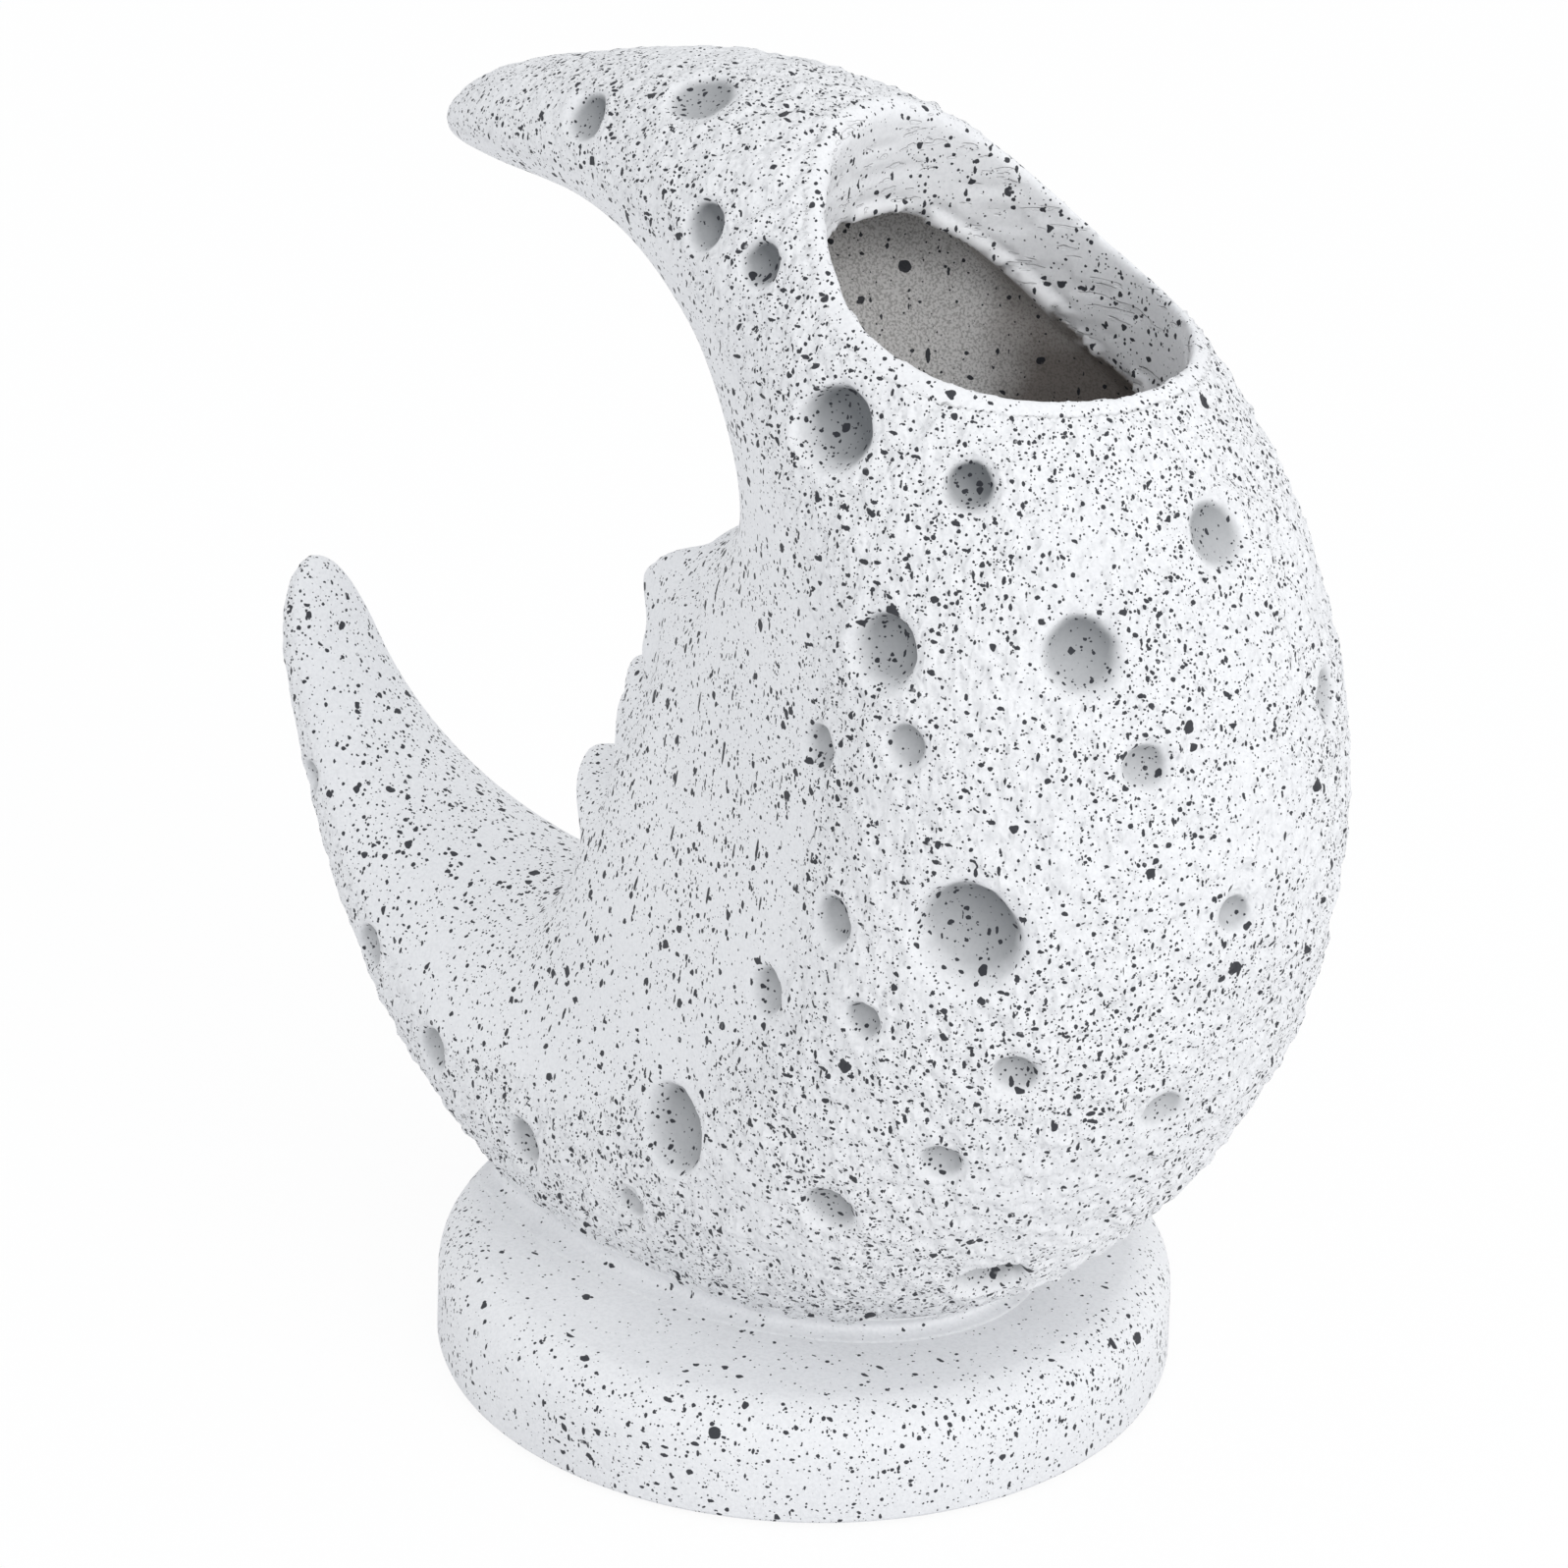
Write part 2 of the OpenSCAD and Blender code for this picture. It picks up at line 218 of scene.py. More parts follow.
def face_at(a):
    """The share at an angle, with the profile's corners blended over a few degrees."""
    angles, shares = zip(*PROFILE_SHARES)
    return sum(np.interp(a + k / 3 * BLEND_ANGLE, angles, shares) for k in range(-3, 4)) / 7


# Outlines of a section's inner side, by the share of its half width: a wedge in the face, else a tube

def wedge(share):
    return np.maximum(0, 1 - np.abs(share) ** WEDGE_POWER) ** WEDGE_ROUND


def tube(share):
    return np.sqrt(np.maximum(0, 1 - share * share))


def inner_depth(a, share):
    """How far the skin of the inner side lies from a section's middle."""
    e = face_at(a)
    return half_t(a) * tube(share) * (1 - e) + (half_t(a) + FACE_DEPTH) * e * wedge(share)


def cavity_depth(a, share):
    """The same for the skin of the hollow."""
    return (half_t(a) - WALL) * tube(share) + FACE_HOLLOW_SHARE * FACE_DEPTH * face_at(a) * wedge(share)


# The face's own axes: from the chin up to the brow, and out of the face
CHIN = np.array([HUB_X + CHIN_IN, 0, HUB_Z - CHIN_DROP])
FACE_UP = np.array([sind(FACE_LEAN), 0, cosd(FACE_LEAN)])
FACE_OUT = np.array([-cosd(FACE_LEAN), 0, sind(FACE_LEAN)])
# Features over the ground: place up from the chin, its spread, place aside, its spread, height
FEATURES = (
    # tip and bridge of the nose, and its wings
    (55.9, 6.5, 0, 7, 8.3), (68.9, 8.5, 0, 5.5, 4.9), (50.6, 4.6, 9.5, 4.2, 3.2),
    # chin and the fold over it
    (10.9, 4.8, 0, 14.7, 12), (21.5, 4.6, 0, 18, -5.4),
    # upper and lower lip, the groove over them and their corners
    (38.5, 3.6, 0, 11, 3), (29.4, 3.8, 0, 10, 3.9), (43.5, 3.2, 0, 2.4, -0.9), (34.5, 3.4, 19, 3, -1.2),
    # eye hollows and closed lids
    (76, 8, 21, 10, -3), (75, 4.8, 21, 7.5, 4),
    # brows and cheeks
    (88, 4, 19, 13, 2.4), (50, 14, 30, 11, 2),
    # nostrils
    (46.8, 1.9, 4.8, 2.6, -2))
# Fine folds, in the same places: the line between the lips, the lashes' line and the lid's crease
LIP_LINE_UP = 33.7
LIP_HALF_W = 19
EYE_ASIDE = 21
LID_HALF_W = 10.5
LASH_LINE_UP = 72.2
LID_CREASE_UP = 80.6
LID_BEND = 0.030


def hump(x, middle, spread):
    return np.exp(-((x - middle) / spread) ** 2)


def face_relief(up, aside):
    """Height of the features over the face's ground, by the place up from the chin and the
    distance from the midline."""
    relief = 0
    for row_up, up_spread, row_aside, aside_spread, height in FEATURES:
        relief = relief + height * hump(up, row_up, up_spread) * hump(aside, row_aside, aside_spread)
    in_lips = np.maximum(0, 1 - (aside / LIP_HALF_W) ** 2)
    relief = relief - 2.2 * hump(up, LIP_LINE_UP + 0.008 * aside * aside, 1.2) * in_lips
    from_eye = aside - EYE_ASIDE
    in_lid = ramp(LID_HALF_W - np.abs(from_eye), 0, 3)
    relief = relief - 1.1 * hump(up, LASH_LINE_UP + LID_BEND * from_eye ** 2, 0.9) * in_lid
    relief = relief - 0.8 * hump(up, LID_CREASE_UP - LID_BEND * from_eye ** 2, 1.0) * in_lid
    # the fold of the cheek, from the nose's wing down past the mouth
    fold = (aside - 14) * 0.8 + (up - 50) * 0.6
    return relief - 0.9 * hump(fold, 0, 2.2) * hump(up, 43, 7) * ramp(aside, 8, 14)


# Noise over a lattice of random values

def lattice(ix, iy, iz, seed):
    """A random value from 0 to 1 at each point of the lattice, the same in each run."""
    n = (ix * 73856093) ^ (iy * 19349663) ^ (iz * 83492791) ^ (seed * 2654435761)
    n = (n & 0xFFFFFFFF).astype(np.uint64)
    n = ((n ^ (n >> np.uint64(15))) * np.uint64(2246822519)) & np.uint64(0xFFFFFFFF)
    n = ((n ^ (n >> np.uint64(13))) * np.uint64(3266489917)) & np.uint64(0xFFFFFFFF)
    return (n ^ (n >> np.uint64(16))).astype(np.float64) / 0xFFFFFFFF


def noise(points, cell, seed):
    """Smooth noise from -1 to 1 with lumps of the size of a cell."""
    q = points / cell
    i = np.floor(q).astype(np.int64)
    f = q - i
    f = f ** 3 * (f * (f * 6 - 15) + 10)
    total = 0
    for dx in (0, 1):
        for dy in (0, 1):
            for dz in (0, 1):
                weight = np.where(dx, f[:, 0], 1 - f[:, 0])
                weight = weight * np.where(dy, f[:, 1], 1 - f[:, 1])
                weight = weight * np.where(dz, f[:, 2], 1 - f[:, 2])
                total = total + weight * lattice(i[:, 0] + dx, i[:, 1] + dy, i[:, 2] + dz, seed)
    return total * 2 - 1


# Craters: angle at the hollow's centre, turn from the ridge, radius and depth in millimetres
CRATERS = (
    (75, 67, 5.6, 2.6), (64, 35, 7.0, 2.0), (52, 81, 5.2, 3.2), (45, 74, 4.7, 3.2),
    (29, 80, 8.8, 5.6), (22, 54, 5.2, 3.4), (15, 4, 7.0, 2.0), (11, 84, 7.6, 5.2),
    (10, 42, 8.0, 3.4), (1, 107, 5.0, 3.0), (4, 81, 4.6, 2.6), (3, 33, 5.0, 2.4),
    (-13, 96, 5.6, 3.4), (-9, 67, 11.0, 5.4), (-25, 107, 5.4, 3.0), (-19, 83, 4.4, 3.0),
    (-18, 52, 4.8, 2.6), (-7, 14, 4.2, 2.2), (-47, 99, 9.8, 5.0), (-27, 57, 4.8, 2.4),
    (-58, 82, 3.8, 2.2), (-37, 67, 5.6, 3.0), (-38, 27, 8.0, 3.8), (-20, 20, 5.0, 1.8),
    (-73, 89, 5.5, 3.0), (-90, 90, 5.2, 3.0), (-106, 86, 5.0, 2.6), (-129, 75, 4.4, 2.4),
    (3, -20, 6.0, 2.0), (84, -72, 4.6, 2.6), (70, -58, 6.4, 3.0), (57, -84, 5.0, 3.0),
    (43, -82, 5.4, 3.2), (31, -92, 4.8, 2.8), (24, -44, 5.4, 2.0), (14, -76, 9.0, 5.4),
    (6, -52, 4.8, 2.6), (-4, -98, 5.4, 3.0), (-12, -34, 7.0, 2.6), (-14, -72, 5.0, 3.0),
    (-26, -88, 10.2, 5.6), (-30, -54, 5.6, 3.0), (-34, -12, 5.4, 2.0), (-44, -74, 5.0, 3.0),
    (-50, -40, 8.4, 3.6), (-60, -94, 5.4, 3.0), (-66, -66, 4.4, 2.6), (-80, -84, 6.4, 3.6),
    (-98, -78, 4.8, 2.6), (-118, -86, 5.2, 2.6))


def crater_seats():
    """Each crater's centre on the skin, its outward direction, radius and depth."""
    for angle, turn, radius, depth in CRATERS:
        a = np.float64(angle)
        centre = spot(a, mid_r(a) + half_t(a) * cosd(turn), -half_w(a) * sind(turn))
        along, across = cosd(turn) / half_t(a), -sind(turn) / half_w(a)
        out = np.array([along * cosd(a), across, along * sind(a)])
        yield centre, out / np.linalg.norm(out), radius, depth


CRATER_STEEP = 1.3
# Least resin left under a crater
CRATER_FLOOR_T = 4.5
# The side of a crater whose wall gets the most painted shade, the one away from the light, and heights
# between which the painted shade grows stronger
CRATER_SHADE_SIDE = np.array([0.62, 0.0, 0.78])
MORE_SHADE_FROM = 195
MORE_SHADE_TO = 215


def crater_field(points):
    """The push of the craters on each point of the skin, how near to a crater it lies (1 inside),
    and how much shade is painted into its bowl there."""
    near, bottom = np.zeros(len(points)), np.zeros(len(points))
    push = np.zeros((len(points), 3))
    for k, (centre, out, radius, depth) in enumerate(crater_seats()):
        d = points - centre
        hit = np.nonzero((d * d).sum(1) < (1.6 * radius + 4) ** 2)[0]
        height = d[hit] @ out
        # the skin only, and not the wall of the hollow behind it
        skin = height > -CRATER_STEEP * depth - 2.2
        hit, height = hit[skin], height[skin]
        if not len(hit):
            continue
        flat = d[hit] - height[:, None] * out
        bent = 0.08 * noise(points[hit], radius * 1.3, 40 + k)
        wobble = 1 + bent + 0.05 * noise(points[hit], 2.3, 90)
        t = np.linalg.norm(flat, axis=1) / (radius * wobble)
        bowl = np.maximum(0, 1 - t ** 2.6) ** 0.75
        lip = 0.35 * hump(t, 1.16, 0.16)
        push[hit] += out * (lip - CRATER_STEEP * depth * bowl)[:, None]
        near[hit] = np.maximum(near[hit], 1 - ramp(t, 0.92, 1.3))
        # which wall of the bowl lies away from the light, where more shade is painted
        shaded_wall = np.clip(flat @ CRATER_SHADE_SIDE / radius, -1, 1)
        # painted shade: deep craters are painted darker, and so are those up beside the mouth
        depth_shade = min(1, 0.32 + depth / 5) * (1 + 0.3 * ramp(centre[2], MORE_SHADE_FROM, MORE_SHADE_TO))
        within = 1 - ramp(t, 0.84 - 0.3 * (1 - shaded_wall) / 2, 1.04)
        bottom[hit] = np.maximum(bottom[hit], within * (0.76 + 0.38 * shaded_wall) * depth_shade)
    return push, near, bottom


def under_craters(points):
    """Points of the cavity's skin, pushed in where a crater comes close to them."""
    points = points.copy()
    for centre, out, radius, depth in crater_seats():
        d = points - centre
        height = d @ out
        flat = np.linalg.norm(d - height[:, None] * out, axis=1)
        limit = -(CRATER_STEEP * depth + CRATER_FLOOR_T) * (1 - ramp(flat / radius, 1.0, 1.9))
        over = np.where((flat < 1.9 * radius) & (height > -25), np.maximum(0, height - limit), 0)
        points = points - over[:, None] * out
    return points


# Meshes

def new_piece(name, points, faces, smooth=True):
    mesh = bpy.data.meshes.new(name)
    mesh.from_pydata((np.asarray(points) * MM).tolist(), [], [list(map(int, f)) for f in faces])
    mesh.update()
    if smooth:
        mesh.shade_smooth()
    piece = bpy.data.objects.new(name, mesh)
    bpy.context.scene.collection.objects.link(piece)
    return piece


def points_of(mesh):
    flat = np.empty(len(mesh.vertices) * 3, np.float32)
    mesh.vertices.foreach_get("co", flat)
    return flat.reshape(-1, 3).astype(float) / MM


def put_points(mesh, points):
    mesh.vertices.foreach_set("co", (points * MM).astype(np.float32).ravel())
    mesh.update()


def normals_of(mesh):
    flat = np.empty(len(mesh.vertices) * 3, np.float32)
    mesh.vertices.foreach_get("normal", flat)
    return flat.reshape(-1, 3)


def edges_of(mesh):
    flat = np.empty(len(mesh.edges) * 2, np.int32)
    mesh.edges.foreach_get("vertices", flat)
    return flat.reshape(-1, 2)


def set_attribute(mesh, name, values):
    layer = mesh.attributes.get(name) or mesh.attributes.new(name, "FLOAT", "POINT")
    layer.data.foreach_set("value", np.asarray(values, np.float32))


def relaxed(points, edges, amount, rounds):
    """Points drawn towards the mean of their neighbours, by an amount for each point."""
    count = np.bincount(edges.ravel(), minlength=len(points))[:, None]
    for _ in range(rounds):
        total = np.zeros_like(points)
        for axis in range(3):
            total[:, axis] = (
                np.bincount(edges[:, 0], points[edges[:, 1], axis], len(points))
                + np.bincount(edges[:, 1], points[edges[:, 0], axis], len(points)))
        points = points + (total / np.maximum(count, 1) - points) * amount[:, None]
    return points


def modified(piece, kind, **settings):
    """The piece's mesh with one modifier applied."""
    change = piece.modifiers.new(kind.lower(), kind)
    for key, value in settings.items():
        setattr(change, key, value)
    made = bpy.data.meshes.new_from_object(piece.evaluated_get(bpy.context.evaluated_depsgraph_get()))
    piece.modifiers.clear()
    old = piece.data
    piece.data = made
    bpy.data.meshes.remove(old)
    return piece


def cut(piece, cutter):
    modified(piece, "BOOLEAN", operation="DIFFERENCE", solver="MANIFOLD", object=cutter)
    bpy.data.objects.remove(cutter)
    return piece


def ring_faces(rings, around):
    """Quads of a skin over rings of points, with a fan to one point at each end."""
    first, last = rings * around, rings * around + 1
    faces = []
    for j in range(around):
        k = (j + 1) % around
        faces.append((first, k, j))
        for i in range(rings - 1):
            faces.append((i * around + j, i * around + k, (i + 1) * around + k, (i + 1) * around + j))
        faces.append((last, (rings - 1) * around + j, (rings - 1) * around + k))
    return faces


# The crescent's rough length and half girth, which give the number of rings and of points round them,
# and the rings over the dome of each tip
MOON_LENGTH = 600
MOON_HALF_GIRTH = 190
END_RINGS = 16


def moon_skin(step):
    """The crescent's outer skin with its face and craters, as rings from horn to horn."""
    ends = 1 - np.cos(np.linspace(0.06, math.pi / 2, END_RINGS))
    low_end, high_end = LOW_TIP + LOW_TIP_ANGLE * ends, HIGH_TIP - HIGH_TIP_ANGLE * ends[::-1]
    between = np.linspace(low_end[-1], high_end[0], int(MOON_LENGTH / step))[1:-1]
    angles = np.concatenate([low_end, between, high_end])
    half = int(MOON_HALF_GIRTH / step)
    turns = np.linspace(-90, 90, half + 1)
    shares = sind(90 * np.linspace(1, -1, half + 1)[1:-1])
    rings, asides = [], []
    for a in angles:
        ridge = spot(np.full(half + 1, a), mid_r(a) + half_t(a) * cosd(turns), half_w(a) * sind(turns))
        inner = spot(np.full(half - 1, a), mid_r(a) - inner_depth(a, shares), half_w(a) * shares)
        midline = spot(a, mid_r(a) - inner_depth(a, 0), 0)
        rings.append(np.concatenate([ridge, inner]))
        asides.append(np.concatenate([np.full(half + 1, FAR), np.linalg.norm(inner - midline, axis=1)]))
    points = np.concatenate(rings)
    front = ramp(face_at(np.repeat(angles, 2 * half)), 0.02, 0.3)
    height = front * face_relief((points - CHIN) @ FACE_UP, np.concatenate(asides))
    # features stand straight out at the midline, and half to the side beside it
    turn = 45 * ramp(np.abs(points[:, 1]), 2, 20)
    way = FACE_OUT * cosd(turn)[:, None]
    way[:, 1] = sind(turn) * np.sign(points[:, 1])
    points = points + way * height[:, None]
    points = points + crater_field(points)[0]
    tips = [spot(np.float64(a), mid_r(a), 0) for a in (LOW_TIP, HIGH_TIP)]
    return np.concatenate([points, tips]), ring_faces(len(angles), 2 * half)


# The hollow's two ends, by the angle, and the angle over which each closes in a dome
CAVITY_LOW = -92
CAVITY_HIGH = 82
CAVITY_SPAN = 24
CAVITY_RINGS = 60
CAVITY_AROUND = 96


def cavity_cap(a):
    return dome(np.minimum(a - CAVITY_LOW, CAVITY_HIGH - a) / CAVITY_SPAN)


def cavity_skin():
    """The skin of the hollow, a wall's thickness inside the crescent, as rings from end to end."""
    shares = (1 - np.cos(np.linspace(0, math.pi, CAVITY_RINGS + 2)[1:-1])) / 2
    angles = CAVITY_LOW + (CAVITY_HIGH - CAVITY_LOW) * shares
    turns = np.linspace(0, 360, CAVITY_AROUND + 1)[:-1]
    rings = []
    for a in angles:
        cap = cavity_cap(a)
        ridge_side = (half_t(a) - WALL) * cosd(turns)
        radius = np.where(cosd(turns) > 0, ridge_side, -cavity_depth(a, sind(turns)))
        side = cap * (half_w(a) - WALL) * sind(turns)
        rings.append(spot(np.full(CAVITY_AROUND, a), mid_r(a) + cap * radius, side))
    ends = [spot(np.float64(a), mid_r(a), 0) for a in (CAVITY_LOW, CAVITY_HIGH)]
    return under_craters(np.concatenate(rings + [ends])), ring_faces(CAVITY_RINGS, CAVITY_AROUND)


# The mouth's axis and a way to measure depth under the skin along it
LEAN = math.radians(MOUTH_LEAN)
MOUTH_UP = np.array([math.sin(LEAN), 0, math.cos(LEAN)])
MOUTH_FORE = np.array([math.cos(LEAN), 0, -math.sin(LEAN)])
MOUTH_SEAT = np.array([MOON_X, 0, MOON_Z]) + MOUTH_OFF * MOUTH_FORE
# Heights over the seat: under the skin, over the skin, and over the whole moon
MOUTH_UNDER = 40
MOUTH_OVER = 150
MOUTH_TOP = 170
HALVINGS = 40


def skin_level(points):
    """Under 1 inside the crescent's plain skin, over 1 outside of it."""
    x, z = points[:, 0] - HUB_X, points[:, 2] - HUB_Z
    a = np.degrees(np.arctan2(z, x))
    r = np.hypot(x, z)
    s_r = (r - mid_r(a)) / np.maximum(half_t(a), TINY)
    s_y = points[:, 1] / np.maximum(half_w(a), TINY)
    return np.hypot(s_r, s_y)


def last_inside(inside, low, high, count):
    """For each of a count of rays, how far it stays inside, found by halving."""
    low, high = np.full(count, float(low)), np.full(count, float(high))
    for _ in range(HALVINGS):
        mid = (low + high) / 2
        kept = inside(mid)
        low, high = np.where(kept, mid, low), np.where(kept, high, mid)
    return low


def rim_height(fore, side):
    """Height of the crescent's skin over the mouth's seat, along the mouth's axis."""
    start = MOUTH_SEAT + fore[:, None] * MOUTH_FORE + side[:, None] * ASIDE

    def inside(height):
        place = start + height[:, None] * MOUTH_UP
        from_hub = np.hypot(place[:, 0] - HUB_X, place[:, 2] - HUB_Z)
        return (skin_level(place) < 1) | (from_hub < HOLLOW_R + WALL)

    return last_inside(inside, MOUTH_UNDER, MOUTH_OVER, len(fore))


def mouth_plug(name, radius, depth):
    """A column up through the mouth, whose foot follows the skin at a depth under it."""
    rings, around = 14, 128
    rho = radius * np.linspace(0, 1, rings + 1)[1:]
    theta = np.linspace(0, 2 * math.pi, around, endpoint=False)
    fore = (rho[:, None] * np.cos(theta)).ravel()
    side = (rho[:, None] * np.sin(theta)).ravel()
    foot = rim_height(fore, side) - depth
    base = MOUTH_SEAT + fore[:, None] * MOUTH_FORE + side[:, None] * ASIDE
    bottom = base + foot[:, None] * MOUTH_UP
    top = base[-around:] + MOUTH_TOP * MOUTH_UP
    centre = MOUTH_SEAT + (rim_height(np.zeros(1), np.zeros(1)) - depth) * MOUTH_UP
    points = np.concatenate([bottom, top, centre[None], (MOUTH_SEAT + MOUTH_TOP * MOUTH_UP)[None]])
    return new_piece(name, points, ring_faces(rings + 1, around))


def plinth_outline(steps):
    """The plinth's outline outside, from its foot up and over its soft upper edge."""
    edge_x, edge_z = PLINTH_R - EDGE_R, PLINTH_H - EDGE_R
    outline = [(PLINTH_R - BEVEL, FOOT_PROUD), (PLINTH_R - BEVEL * 0.3, FOOT_PROUD + BEVEL * 0.3)]
    outline.append((PLINTH_R, FOOT_PROUD + BEVEL))
    for k in range(steps + 1):
        t = math.pi / 2 * k / steps
        outline.append((edge_x + EDGE_R * math.cos(t), edge_z + EDGE_R * math.sin(t)))
    return outline


def revolved(name, outline, around):
    """A closed outline of radius and height turned about the upright axis."""
    theta = np.linspace(0, 2 * math.pi, around, endpoint=False)
    outline = np.array(outline, float)
    n = len(outline)
    points = np.stack([
        outline[None, :, 0] * np.cos(theta)[:, None],
        outline[None, :, 0] * np.sin(theta)[:, None],
        np.repeat(outline[None, :, 1], around, 0)], -1).reshape(-1, 3)
    faces = []
    for j in range(around):
        k = (j + 1) % around
        for i in range(n):
            m = (i + 1) % n
            faces.append((j * n + i, k * n + i, k * n + m, j * n + m))
    return new_piece(name, points, faces)


def drum(name, radius, low, high):
    """An upright cylinder between two heights."""
    around = 96
    theta = np.linspace(0, 2 * math.pi, around, endpoint=False)
    ring = np.stack([radius * np.cos(theta), radius * np.sin(theta), 0 * theta], -1)
    points = np.concatenate([ring + [0, 0, low], ring + [0, 0, high], [[0, 0, low], [0, 0, high]]])
    return new_piece(name, points, ring_faces(2, around))


def regions(points):
    """Where each point of the casting lies: places in the sections, and masks from 0 to 1."""
    x, z = points[:, 0] - HUB_X, points[:, 2] - HUB_Z
    a = np.degrees(np.arctan2(z, x))
    r = np.hypot(x, z)
    thick, wide = np.maximum(half_t(a), 1), np.maximum(half_w(a), 1)
    turn = np.degrees(np.arctan2(np.abs(points[:, 1]) / wide, (r - mid_r(a)) / thick))
    d = points - MOUTH_SEAT
    fore, side, height = d @ MOUTH_FORE, d[:, 1], d @ MOUTH_UP
    off_axis = np.hypot(fore, side)
    upper = (off_axis < MOUTH_R + COLLAR_T + 4) & (height > 20)
    depth = np.full(len(points), FAR)
    depth[upper] = rim_height(fore[upper], side[upper]) - height[upper]
    cap = np.maximum(cavity_cap(a), TINY) * ((a > CAVITY_LOW) & (a < CAVITY_HIGH))
    room_y = np.maximum(cap * (wide - WALL), TINY)
    across = np.clip(np.abs(points[:, 1]) / room_y, 0, 1)
    level_out = np.hypot((r - mid_r(a)) / np.maximum(cap * (thick - WALL), TINY), points[:, 1] / room_y)
    room_in = np.maximum(cap * cavity_depth(a, across), TINY)
    level_in = np.maximum((mid_r(a) - r) / room_in, np.abs(points[:, 1]) / room_y)
    level = np.where(r > mid_r(a), level_out, level_in)
    collar = (off_axis < MOUTH_R + 1.0) & (depth > -1) & (depth < COLLAR_D + 0.5)
    outside = ~collar & (level > 1.04)
    hollow = ~collar & ~outside
    return {"angle": a, "turn": turn, "depth": depth, "off_axis": off_axis,
            "collar": collar * 1.0, "outside": outside * 1.0, "hollow": hollow * 1.0}


# The casting's mesh: voxel, step of the skin that it is made from, and rounds of wear at its rims
FULL_MESH = (0.9, 1.4, 22)
# How far the wear spreads across a rim, and along the mouth's axis at the rim and at the collar's foot
WEAR_ACROSS = 2.6
RIM_WEAR = 2.8
LIP_WEAR = 2.0
# The turn from the ridge at which the stone-like skin ends
ROUGH_TURN = 108


def cast_moon(voxel, step):
    """The casting as one even mesh: the skin less the hollow, the mouth and the drain."""
    moon = new_piece("moon_casting", *moon_skin(step))
    hollow = new_piece("hollow_cutter", *cavity_skin())
    cut(hollow, mouth_plug("collar_keeper", MOUTH_R + COLLAR_T, COLLAR_D))
    cut(hollow, drum("floor_keeper", 2 * MOON_R, -MOON_R, PLINTH_H + FLOOR_T))
    cut(moon, hollow)
    cut(moon, mouth_plug("neck_cutter", MOUTH_R, COLLAR_D + 1))
    cut(moon, drum("drain_cutter", DRAIN_R + 0.3, -5, PLINTH_H + FLOOR_T + 2))
    return modified(moon, "REMESH", mode="VOXEL", voxel_size=voxel * MM, adaptivity=0)


# Lumps of the stone-like skin: height, size and seed
STONE_LUMPS = ((0.36, 5.2, 11), (0.52, 2.9, 12), (0.42, 1.8, 13))


def stone_relief(points):
    """Height of the stone-like skin: lumps of three sizes, torn pits and small knobs."""
    lumps = sum(height * noise(points, size, seed) for height, size, seed in STONE_LUMPS)
    pits = -0.5 * ramp(noise(points, 3.4, 14), 0.2, 0.7)
    return lumps + (pits + 0.35 * ramp(noise(points, 2.4, 15), 0.3, 0.8))


def casting_relief(points, where, rough, lip, torn):
    """How far each point of the casting is pushed out along its normal."""
    # the horns are less rugged than the thick middle
    rugged = 0.35 + 0.65 * ramp(half_t(where["angle"]), 12, 32)
    relief = rough * rugged * stone_relief(points)
    # slow waves everywhere but on the face
    face_calm = 1 - ramp(where["turn"], 118, 135) * ramp(face_at(where["angle"]), 0, 0.2)
    relief = relief + 0.35 * noise(points, 26, 16) * where["outside"] * face_calm * 0.5
    # the hollow's uneven wall, and the collar's with its tool marks
    relief = relief + where["hollow"] * 0.5 * noise(points, 9, 17)
    relief = relief + where["collar"] * 0.22 * noise(points, 12, 18)
    relief = relief - where["collar"] * 0.3 * ramp(noise(points * [1, 1, 3.2], 9, 19), 0.42, 0.5)
    # the ledge where the collar's lower edge is torn
    over_lip = hump(where["depth"], COLLAR_D - 3.4, 0.9) * where["collar"]
    relief = relief + torn * (1.1 * lip - 0.5 * over_lip)
    return relief * ramp(points[:, 2], PLINTH_H + 0.5, PLINTH_H + 3)


def make_moon():
    """The crescent with its worn rim, its rough and its smooth sides, and the masks for its paint."""
    voxel, step, wear = FULL_MESH
    moon = cast_moon(voxel, step)
    mesh = moon.data
    points, edges = points_of(mesh), edges_of(mesh)
    points = relaxed(points, edges, np.full(len(points), 0.5), 2)
    where = regions(points)
    # the rim of the mouth and the collar's lower edge are worn round
    rim = hump(where["off_axis"], MOUTH_R + 0.6, WEAR_ACROSS) * hump(where["depth"], 0, RIM_WEAR)
    lip = hump(where["off_axis"], MOUTH_R, WEAR_ACROSS) * hump(where["depth"], COLLAR_D, LIP_WEAR)
    points = relaxed(points, edges, np.clip(rim * 0.9 + lip * 0.5, 0, 0.9), wear)
    _, near, bottom = crater_field(points)
    where["outside"] = np.maximum(where["outside"], (near > 0) * (1 - where["collar"]))
    where["hollow"] = where["hollow"] * (near <= 0)
    # rough on the ridge and the flanks, smooth on the hollow side, in the craters and at the rim
    edge_turn = ROUGH_TURN + 6 * noise(points, 23, 5)
    rough = where["outside"] * (1 - ramp(where["turn"], edge_turn - 7, edge_turn + 5)) * (1 - near)
    rough = rough * (1 - 0.9 * hump(where["depth"], 0, 3.5) * (where["off_axis"] < MOUTH_R + 4))
    torn = ramp(noise(points, 7, 21) + 0.4 * noise(points, 1.7, 22), -0.25, 0.15)
    put_points(mesh, points)
    relief = casting_relief(points, where, rough, lip, torn)
    put_points(mesh, points + normals_of(mesh) * relief[:, None])
    mesh.shade_smooth()
    # the crater mask carries the painted shade of the crater bowls, darkest on the wall away from the
    # light
    masks = {"rough": rough, "hollow": where["hollow"], "collar": where["collar"],
             "lip": lip * torn, "crater": bottom * where["outside"]}
    for name, values in masks.items():
        set_attribute(mesh, name, values)
    return moon


# Materials

